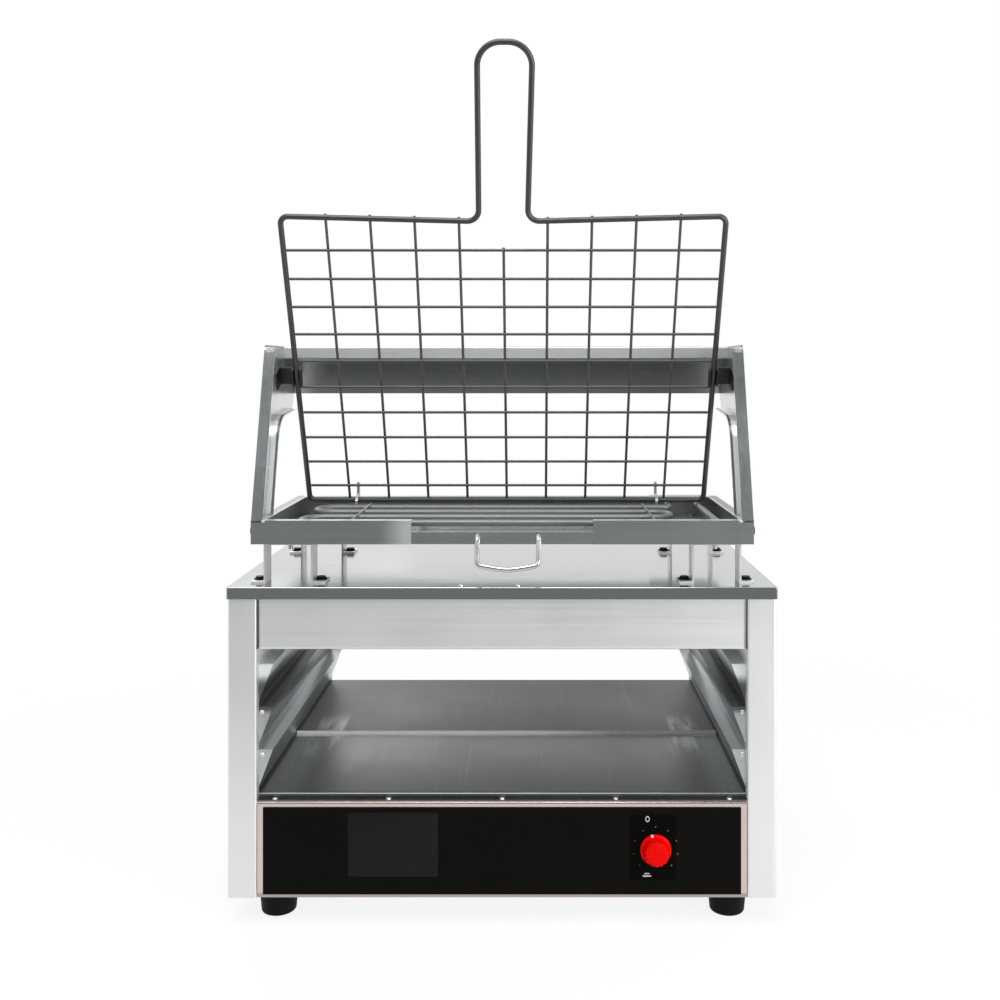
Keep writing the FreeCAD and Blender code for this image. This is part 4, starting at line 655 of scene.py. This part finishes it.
class DRESS_OT_fascia(bpy.types.Operator):
    """Bright frame, black panel, blank plate and the knob's printed scale."""

    bl_idname = "toaster.fascia"
    bl_label = "Fascia"

    def execute(self, context):
        metal = context.scene.toaster_metal
        plastic = context.scene.toaster_moulded
        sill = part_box("fascia_frame")[0].z + 4.2 * MM

        # Painted shade: the frame's bottom strip darker than the rest.
        def lower_edge_shade(shader):
            return shader.within("Z", None, sill)

        edge = brushed_steel("fascia_edge", metal.trim, "X", rough=0.22, contrast=0.08, smudge=0.05,
                             zones=((lower_edge_shade, 0.66, 1.0),))
        gloss = moulded("gloss_panel", plastic.panel, rough=0.28, grain=0.02, shine=0.05, mottle=0.3,
                        dust=0.01)
        dress(edge, "fascia_frame")
        dress(gloss, "fascia_panel")
        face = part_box("fascia_panel")[0].y
        self.blank_plate(plastic, face)
        self.knob_scale(plastic, face)
        return {"FINISHED"}

    def blank_plate(self, plastic, face):
        """A bare satin plate on the left part of the panel."""
        half = Vector((plastic.plate_width / 2, 0, plastic.plate_height / 2))
        middle = Vector((plastic.plate_x, face, plastic.plate_z))
        thick = 0.5 * MM
        bm = bmesh.new()
        block(bm, middle - half - Vector((0, thick, 0)), middle + half)
        soften_corners(bm, 2.5 * MM, 6)
        front = [edge for edge in bm.edges if all(vert.co.y < face - thick * 0.9 for vert in edge.verts)]
        soften(bm, 0.2 * MM, 2, front)
        satin = moulded("satin_plate", plastic.plate, rough=0.45, grain=0.12, shine=0.1, mottle=0.15)
        finished(bm, "blank_plate", satin, "cabinet")

    def knob_scale(self, plastic, face):
        """The thin printed label round the knob, with its dots and marks, placed from the knob's middle."""
        low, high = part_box("thermostat_knob")
        knob_x = (low.x + high.x) / 2
        knob_z = (low.z + high.z) / 2
        proud = 0.1 * MM
        ink = face - proud

        label_left, label_right, label_down, label_up = 26.6 * MM, 20.4 * MM, 30.6 * MM, 34.4 * MM
        bm = bmesh.new()
        block(bm, Vector((knob_x - label_left, ink, knob_z - label_down)),
              Vector((knob_x + label_right, face, knob_z + label_up)))
        soften_corners(bm, 1.5 * MM, 4)
        matt = moulded("scale_label", tint(plastic.panel, 0.45), rough=0.4, grain=0.05, shine=0.04,
                       mottle=0.3)
        finished(bm, "scale_label", matt, "cabinet")

        ring = (high.x - low.x) / 2 + 6.9 * MM
        first, sweep = math.radians(225), math.radians(270)
        smallest, growth = 0.35 * MM, 0.06 * MM
        bm = bmesh.new()
        for number in range(plastic.scale_dots):
            angle = first - sweep * number / (plastic.scale_dots - 1)
            x, z = knob_x + ring * math.cos(angle), knob_z + ring * math.sin(angle)
            disc(bm, Vector((x, ink - proud / 2, z)), smallest + growth * number, proud, 16, (0, -1, 0))
        dim = printed("dim_print", tint(plastic.print_white, 0.22))
        finished(bm, "scale_dots", dim, "cabinet")

        bm = bmesh.new()
        zero = Vector((knob_x - 8.1 * MM, ink, knob_z + 30.4 * MM))
        self.numeral_zero(bm, zero, 2.2 * MM, 3.0 * MM, 0.75 * MM, proud)
        low_mark = Vector((knob_x - 8.6 * MM, ink, knob_z - 25.6 * MM))
        for half_long, base, tall in ((4.2, -1.6, 1.3), (2.6, 1.0, 1.0)):
            block(bm, low_mark + Vector((-half_long, 0, base)) * MM - Vector((0, proud, 0)),
                  low_mark + Vector((half_long, 0, base + tall)) * MM)
        white = printed("white_print", plastic.print_white)
        finished(bm, "scale_marks", white, "cabinet")

    def numeral_zero(self, bm, centre, half_wide, half_tall, stroke, proud):
        """Adds an upright oval ring of printed stroke, standing proud of the label."""
        inner = half_wide - stroke
        corners = [bm.verts.new(centre + Vector((reach, -depth, 0)))
                   for reach, depth in ((half_wide, 0), (half_wide, proud), (inner, proud), (inner, 0))]
        section = [bm.edges.new(pair) for pair in zip(corners, corners[1:] + corners[:1])]
        bmesh.ops.spin(bm, geom=corners + section, cent=centre, axis=(0, 1, 0), angle=math.radians(360),
                       steps=40, use_merge=True)
        bmesh.ops.scale(bm, vec=(1, 1, half_tall / half_wide), space=Matrix.Translation(-centre),
                        verts=bm.verts)


class DRESS_OT_knob(bpy.types.Operator):
    """Red knob: a soft skirt, a fluted grip with a domed cap, and a white pointer."""

    bl_idname = "toaster.knob"
    bl_label = "Knob"

    def execute(self, context):
        plastic = context.scene.toaster_moulded
        metal = context.scene.toaster_metal
        red = moulded("knob_red", plastic.knob, rough=0.34, grain=0.03, shine=0.05, mottle=0.06)
        self.moulding(red)
        self.pointer(plastic, red)
        dress(drawn_wire("plated_pin", metal.bright, rough=0.2), "knob_shaft")
        return {"FINISHED"}

    def sizes(self):
        """The knob's middle in the plane Y = 0, its radius, its back and its depth."""
        low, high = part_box("thermostat_knob")
        centre = Vector(((low.x + high.x) / 2, 0, (low.z + high.z) / 2))
        return centre, (high.x - low.x) / 2, high.y, high.y - low.y

    def moulding(self, red):
        """Spins the knob from shares of its radius and depth, and cuts the flutes of its grip."""
        centre, radius, back, deep = self.sizes()
        profile = [(0.99, 0.00), (1.00, 0.05), (0.985, 0.15), (0.90, 0.20), (0.865, 0.24), (0.845, 0.32),
                   (0.80, 0.80), (0.775, 0.90), (0.71, 0.965), (0.58, 0.99), (0.30, 1.0), (0.0, 1.0)]
        bm = bmesh.new()
        chain, edges = chained(bm, [(radius * reach, back - deep * rise, 0) for reach, rise in profile])
        bmesh.ops.translate(bm, vec=centre, verts=bm.verts)
        bmesh.ops.spin(bm, geom=chain + edges, cent=centre, axis=(0, 1, 0), angle=math.radians(360),
                       steps=168, use_merge=True)
        bmesh.ops.remove_doubles(bm, verts=bm.verts, dist=1e-6)
        flutes, flute_depth = 14, 0.055
        grip_back, grip_front = 0.23, 0.985
        for vert in bm.verts:
            share = (back - vert.co.y) / deep
            out = Vector((vert.co.x - centre.x, 0, vert.co.z - centre.z))
            if grip_back < share < grip_front and out.length > radius * 0.6:
                wave = max(0.0, math.cos(math.atan2(out.z, out.x) * flutes)) ** 3
                fade = min(1.0, (share - grip_back) / 0.1) * min(1.0, (grip_front - share) / 0.06)
                vert.co -= out.normalized() * wave * fade * radius * flute_depth
        bmesh.ops.holes_fill(bm, edges=[edge for edge in bm.edges if edge.is_boundary], sides=0)
        knob = finished(bm, "knob_moulding", red, "knob", smooth_degrees=50)
        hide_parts("thermostat_knob")

    def pointer(self, plastic, red):
        """A rib on the cap and the white mark on the skirt, both turned to the pointer's angle."""
        centre, radius, back, deep = self.sizes()
        cap = back - deep
        turn = (Matrix.Translation(centre) @ Matrix.Rotation(math.radians(-plastic.knob_turn), 4, "Y")
                @ Matrix.Translation(-centre))
        white = printed("pointer_white", tint(plastic.print_white, 1.2))

        def bar(name, material, half_wide, depths, reaches, rounding, segments):
            """A rounded bar between two depths and two distances above the knob's middle."""
            bm = bmesh.new()
            block(bm, Vector((centre.x - half_wide, depths[0], centre.z + reaches[0])),
                  Vector((centre.x + half_wide, depths[1], centre.z + reaches[1])))
            soften(bm, rounding, segments)
            bmesh.ops.transform(bm, matrix=turn, verts=bm.verts)
            finished(bm, name, material, "knob")

        bar("knob_rib", red, 1.0 * MM, (cap - 0.45 * MM, cap + 1.0 * MM),
            (radius * 0.12, radius * 0.72), 0.3 * MM, 3)
        bar("knob_pointer", white, 1.2 * MM, (back - deep * 0.27, back - deep * 0.06),
            (radius * 0.88, radius * 1.02), 0.2 * MM, 2)


class DRESS_OT_heating(bpy.types.Operator):
    """Heaters, thermostat, terminals, bushes and cable glands."""

    bl_idname = "toaster.heating"
    bl_label = "Heating"

    def execute(self, context):
        metal = context.scene.toaster_metal
        ceramic = (0.70, 0.66, 0.58)
        brown = (0.075, 0.045, 0.03)
        cream = (0.62, 0.59, 0.50)
        black = (0.012, 0.012, 0.012)
        dress(scorched_sheath("heater_sheath", metal.sheath), "cabinet_heater")
        dress(scorched_sheath("element_sheath", metal.element, temper=0.12), "toasting_element")
        dress(drawn_wire("support_sheet", tint(metal.element, 1.15), rough=0.35), "element_supports")
        dress(moulded("steatite", ceramic, rough=0.62, grain=0.3, shine=0.4, mottle=0.10, dust=0.2),
              "element_bushes")
        dress(moulded("phenolic", brown, rough=0.45, grain=0.15), "thermostat")
        dress(moulded("cream_nylon", cream, rough=0.5), "terminal_block")
        dress(moulded("black_nylon", black, rough=0.55, grain=0.25, shine=0.3), "cabinet_gland", "tray_gland")
        return {"FINISHED"}


class DRESS_OT_tray(bpy.types.Operator):
    """Toasting tray, crumb drawer with its guides and pull, arms and hood."""

    bl_idname = "toaster.tray"
    bl_label = "Tray, arms and hood"

    def execute(self, context):
        metal = context.scene.toaster_metal
        tray_low, tray_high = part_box("toasting_tray")
        arm_low, arm_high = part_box("right_arm")
        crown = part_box("hood")[1].z
        apron_back = tray_low.y + 1.5 * MM
        drawer_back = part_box("crumb_drawer")[0].y + 1.4 * MM
        web = arm_high.x - 1.7 * MM
        rim_edge_x = web - 11 * MM
        sheen_from, sheen_full, notch_x = -128 * MM, -94 * MM, -89 * MM
        hood_strip = 13.5 * MM
        fold_from, fold_to = 30 * MM, 34 * MM
        fold_edge_wide = 5.2 * MM
        lean = math.tan(math.radians(metal.arm_lean))

        # Painted light and shade: inside the tray the sheet is a darker, less metallic copy.
        def painted_tray_inside(shader):
            return shader.within("Y", apron_back, None)

        def rim_top(shader):
            return shader.within("Z", tray_high.z - 2 * MM, None)

        # Painted shade on the top faces of the side rims.
        def side_rim_shade(shader):
            inner = rim_edge_x + 2 * MM
            return rim_top(shader) * (1 - shader.within("X", -inner, inner))

        # Painted highlight along the inner edge of each side rim.
        def rim_edge_highlight(shader):
            return shader.apart("X", rim_edge_x, 2.6 * MM) * rim_top(shader) * 0.8

        def notch_sheen(shader):
            """Painted reflection: lighter apron, fading in from the left and ending at the drawer's notch."""
            across = shader.along("X")
            past_notch = across.above(notch_x - 1 * MM, notch_x + 1 * MM)
            lighter = across.above(sheen_from, sheen_full) * (1 - past_notch)
            return lighter * shader.within("Y", None, apron_back)

        # Painted light and shade: inside the drawer the sheet is a darker, less metallic copy.
        def painted_drawer_inside(shader):
            return shader.within("Y", drawer_back, None)

        def behind_flange(shader, start, end):
            """Runs from 0 to 1 between two depths behind the arms' leaning front edge."""
            depth = shader.along("Y") - shader.along("Z") * lean
            front_line = arm_low.y - tray_high.z * lean
            return depth.above(front_line + start, front_line + end)

        def inner_face_light(shader):
            """Painted light on the side that each arm turns to the other, weaker behind its front flange."""
            inside = shader.facing("X") * shader.within("X", -web - 1.0 * MM, web + 1.0 * MM)
            return inside * (1 - behind_flange(shader, fold_from, 46 * MM) * 0.7)

        # Painted highlight on the rear fold of each arm.
        def rear_fold_sheen(shader):
            fold = behind_flange(shader, fold_from, fold_to) * (1 - shader.facing("X"))
            return fold * shader.within("X", -web, web)

        # Painted shade: the rear fold darkened inward of a bright strip at its outer edge.
        def fold_edge_shade(shader):
            edge = web - fold_edge_wide
            return rear_fold_sheen(shader) * shader.within("X", -edge, edge)

        # Painted shade: the arms' fronts and edges darker towards the top, fading in over 40 mm.
        def upper_arm_shade(shader):
            return shader.within("Z", arm_high.z - 60 * MM, None, 40 * MM) * (1 - shader.facing("X"))

        # Painted shade along the arms' top edges.
        def arm_top_shade(shader):
            return shader.within("Z", arm_high.z - 2.2 * MM, None)

        # Painted light on the hood's top front strip.
        def lit_hood_front(shader):
            return shader.within("Z", crown - hood_strip, None)

        tray = brushed_steel(
            "tray_sheet", metal.tray, "X", rough=0.30, contrast=0.14, smudge=0.18, warm=0.06,
            zones=((painted_tray_inside, 0.72, 0.55), (side_rim_shade, 0.45, 1.0), (rim_edge_highlight, 2.0, 0.5),
                   (notch_sheen, 1.5, 0.75)))
        drawer = brushed_steel(
            "drawer_sheet", tint(metal.tray, 1.08), "X", rough=0.26, contrast=0.14, smudge=0.12, warm=0.06,
            zones=((painted_drawer_inside, 0.80, 0.55),))
        arms = brushed_steel(
            "arm_sheet", tint(metal.tray, 1.08), "Z", rough=0.24, contrast=0.12, smudge=0.10, warm=0.03,
            zones=((inner_face_light, 1.9, 0.6), (rear_fold_sheen, 1.7, 0.5), (fold_edge_shade, 0.2, 1.0),
                   (upper_arm_shade, 0.66, 1.0), (arm_top_shade, 0.25, 1.0)))
        # Painted shade: the hood is a darker copy of the tray sheet, with a lit strip along its front.
        hood = brushed_steel(
            "hood_sheet", tint(metal.tray, 0.52), "X", rough=0.24, contrast=0.12, smudge=0.10, warm=0.08,
            zones=((lit_hood_front, 2.2, 0.35),))
        dress(tray, "toasting_tray", "drawer_guides", "terminal_cover")
        dress(drawer, "crumb_drawer")
        dress(arms, "left_arm", "right_arm")
        dress(hood, "hood")
        dress(drawn_wire("pull_wire", tint(metal.bright, 1.1), rough=0.06), "drawer_pull")
        return {"FINISHED"}


class DRESS_OT_basket(bpy.types.Operator):
    """Hinged wire basket, its lugs and its rest clips."""

    bl_idname = "toaster.basket"
    bl_label = "Basket"

    def execute(self, context):
        metal = context.scene.toaster_metal
        dress(drawn_wire("frame_wire", tint(metal.wire, 0.8), rough=0.32, soot=0.4), "basket_frame")
        dress(drawn_wire("grid_wire", tint(metal.wire, 1.05), rough=0.34, soot=0.4), "basket_long_wires",
              "basket_cross_wires")
        dress(drawn_wire("lug_plate", tint(metal.bright, 1.1), rough=0.20), "left_hinge_lug",
              "right_hinge_lug")
        dress(drawn_wire("spring_clip", tint(metal.wire, 0.45), rough=0.25), "left_rest_clip",
              "right_rest_clip")
        return {"FINISHED"}


class DRESS_OT_fastenings(bpy.types.Operator):
    """Bolts, screws and rubber feet."""

    bl_idname = "toaster.fastenings"
    bl_label = "Fastenings and feet"

    def execute(self, context):
        metal = context.scene.toaster_metal
        plastic = context.scene.toaster_moulded
        black = drawn_wire("black_oxide", metal.bolt, rough=0.30)
        dress(black, "stand_off_bolts")
        self.washers(black)
        dress(drawn_wire("bright_plate", metal.bright, rough=0.14), "tray_bolts", "rear_panel_screws",
              "foot_screws")
        dress(drawn_wire("dull_plate", tint(metal.bright, 0.32), rough=0.24), "arm_bolts", "hood_bolts")
        polished = brushed_steel("polished_head", tint(metal.bright, 1.6), "X", rough=0.14, contrast=0.05,
                                 smudge=0.02)
        rubber = moulded("foot_rubber", plastic.rubber, rough=0.62, grain=0.35, shine=0.12, mottle=0.2,
                         dust=0.04)
        dress(polished, "fascia_screws", "top_plate_screws")
        dress(rubber, *[corner + "_foot" for corner in CORNERS])
        return {"FINISHED"}

    def washers(self, black):
        """A plain washer under each bolt head on the stand-offs' feet."""
        from_end, foot_thick = 6.5 * MM, 2.0 * MM
        profile = [(4.0, 0.0), (6.1, 0.0), (6.2, 0.15), (6.2, 1.0), (6.05, 1.2), (4.0, 1.3), (4.0, 0.0)]
        bm = bmesh.new()
        for corner in CORNERS:
            low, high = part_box(corner + "_stand_off")
            for x in (low.x + from_end, high.x - from_end):
                turned(bm, profile, Vector((x, (low.y + high.y) / 2, low.z + foot_thick)), (0, 0, 1), 40)
        finished(bm, "bolt_washers", black, "cabinet")


class DRESS_OT_stage(bpy.types.Operator):
    """Pale floor, soft studio light and the camera."""

    bl_idname = "toaster.stage"
    bl_label = "Stage"

    def execute(self, context):
        stage = context.scene.toaster_stage
        scene = context.scene
        self.camera(scene, stage)
        self.sweep(scene, stage)
        self.card(scene, stage)
        self.room(scene, stage)
        self.lamp(scene, "key_lamp", (-0.2, -1.15, 2.5), (0, 0, 0.3), 1.5, stage.key_power)
        self.lamp(scene, "side_lamp", (1.25, -1.05, 0.6), (0.2, -0.2, 0.3), 0.7, stage.fill_power)
        self.lamp(scene, "back_lamp", (-0.9, 1.7, 1.6), (0, 0, 0.4), 1.6, stage.fill_power)
        scene.view_settings.view_transform = "Standard"
        return {"FINISHED"}

    def camera(self, scene, stage):
        """A level camera in front of the cabinet, shifted to frame it."""
        data = bpy.data.cameras.new("camera")
        data.sensor_width = 36
        data.lens = stage.lens
        data.shift_x = stage.shift_x
        data.shift_y = stage.shift_y
        camera = bpy.data.objects.new("camera", data)
        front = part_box("fascia_panel")[0].y
        camera.location = (stage.eye_x, front - stage.eye_distance, stage.eye_height)
        camera.rotation_euler = (math.radians(90), 0, 0)
        scene.collection.objects.link(camera)
        scene.camera = camera

    def room(self, scene, stage):
        """Surroundings that are white to the camera, pale to polished metal, and light the rest evenly."""
        world = bpy.data.worlds.new("studio")
        world.use_nodes = True
        scene.world = world
        tree = world.node_tree
        rays = tree.nodes.new("ShaderNodeLightPath")
        shown = tree.nodes["Background"]
        shown.inputs["Color"].default_value = (*stage.world_color, 1)
        for ray, colour in (("Is Glossy Ray", stage.mirror_color), ("Is Camera Ray", (1, 1, 1))):
            light = tree.nodes.new("ShaderNodeBackground")
            light.inputs["Color"].default_value = (*colour, 1)
            choose = tree.nodes.new("ShaderNodeMixShader")
            tree.links.new(rays.outputs[ray], choose.inputs[0])
            tree.links.new(shown.outputs[0], choose.inputs[1])
            tree.links.new(light.outputs[0], choose.inputs[2])
            shown = choose
        tree.links.new(shown.outputs[0], tree.nodes["World Output"].inputs["Surface"])

    def scenery(self, scene, bm, name):
        """Makes a bmesh a part of the stage."""
        mesh = bpy.data.meshes.new(name)
        bm.to_mesh(mesh)
        bm.free()
        thing = bpy.data.objects.new(name, mesh)
        scene.collection.objects.link(thing)
        return thing

    def sweep(self, scene, stage):
        """A pale floor that curves up into the backdrop."""
        half, curve_start, radius, height = 5.0, 1.6, 0.9, 4.0
        steps = 24
        line = [(-half, 0.0)]
        for step in range(steps + 1):
            turn = math.radians(90) * step / steps
            line.append((curve_start + radius * math.sin(turn), radius - radius * math.cos(turn)))
        line.append((curve_start + radius, height))
        bm = bmesh.new()
        edges = chained(bm, [(-half, y, z) for y, z in line])[1]
        ribbon = bmesh.ops.extrude_edge_only(bm, edges=edges)
        far = [item for item in ribbon["geom"] if isinstance(item, bmesh.types.BMVert)]
        bmesh.ops.translate(bm, vec=(half * 2, 0, 0), verts=far)
        bmesh.ops.recalc_face_normals(bm, faces=bm.faces)
        floor = self.scenery(scene, bm, "floor_sweep")
        floor.data.shade_smooth()
        floor.data.materials.append(self.floor_material(stage))

    def floor_material(self, stage):
        """Matt and shadowed, white to the camera, and dark in front where polished metal mirrors it."""
        shader = Shader("studio_floor")
        shader.set(Base_Color=(*stage.floor_color, 1), Roughness=0.9, Specular_IOR_Level=0.1)
        rays = shader.add("ShaderNodeLightPath", {}).socket.node.outputs
        camera, glossy, clear = [Value(shader, rays[name]) for name in (
            "Is Camera Ray", "Is Glossy Ray", "Is Transmission Ray")]
        seen = (camera + glossy + clear).clamped()
        near = shader.along("Y").above(-1.15, -0.45)
        shade = tuple(stage.dark_card * channel for channel in (1.1, 1.15, 1.15))
        colour = shader.blend(glossy * (1 - near), (1, 1, 1), shade)
        glow = shader.add("ShaderNodeEmission", {"Color": colour, "Strength": 1.0})
        away = shader.add("ShaderNodeVectorMath", {0: shader.place}, operation="LENGTH", output="Value")
        share = away.above(0.45, 1.3) * 0.14 + 0.86
        plain = Value(shader, shader.surface.outputs[0])
        shader.show(shader.add("ShaderNodeMixShader", {0: seen * share, 1: plain, 2: glow}))
        return shader.material

    def card(self, scene, stage):
        """The dark end of the room, behind the camera, which only polished metal shows."""
        upright = Matrix.Translation((0, -3.2, 1.9)) @ Matrix.Rotation(math.radians(-90), 4, "X")
        size = Matrix.Diagonal((3.0, 2.8, 1, 1))
        bm = bmesh.new()
        bmesh.ops.create_grid(bm, x_segments=1, y_segments=1, size=1, matrix=upright @ size)
        card = self.scenery(scene, bm, "dark_card")
        card.visible_camera = False
        card.visible_diffuse = False
        card.visible_shadow = False
        shader = Shader("dark_end")
        shader.show(shader.add("ShaderNodeEmission", {"Color": (0.95, 1, 1, 1), "Strength": stage.dark_card}))
        card.data.materials.append(shader.material)

    def lamp(self, scene, name, place, aim, size, power):
        """A square lamp of a size, aimed at a point."""
        data = bpy.data.lights.new(name, "AREA")
        data.size = size
        data.energy = power
        lamp = bpy.data.objects.new(name, data)
        lamp.location = place
        lamp.rotation_euler = (Vector(aim) - Vector(place)).to_track_quat("-Z", "Y").to_euler()
        scene.collection.objects.link(lamp)


class TOASTER_PT_panel(bpy.types.Panel):
    """Lists the steps that dress the toaster."""

    bl_idname = "TOASTER_PT_panel"
    bl_label = "Toaster"
    bl_space_type = "VIEW_3D"
    bl_region_type = "UI"
    bl_category = "Toaster"

    def draw(self, context):
        for operator in OPERATORS:
            self.layout.operator(operator.bl_idname)


GROUPS = {"toaster_stage": StageProps, "toaster_metal": MetalProps, "toaster_moulded": MouldedProps}
OPERATORS = (DRESS_OT_cabinet, DRESS_OT_bay, DRESS_OT_fascia, DRESS_OT_knob, DRESS_OT_heating,
             DRESS_OT_tray, DRESS_OT_basket, DRESS_OT_fastenings, DRESS_OT_stage)
CLASSES = (*GROUPS.values(), *OPERATORS, TOASTER_PT_panel)


def register():
    for item in CLASSES:
        bpy.utils.register_class(item)
    for name, group in GROUPS.items():
        setattr(bpy.types.Scene, name, PointerProperty(type=group))


def unregister():
    for name in GROUPS:
        delattr(bpy.types.Scene, name)
    for item in reversed(CLASSES):
        bpy.utils.unregister_class(item)


def main():
    register()
    for operator in OPERATORS:
        getattr(bpy.ops.toaster, operator.bl_idname.split(".")[1])()


if __name__ == "__main__":
    main()
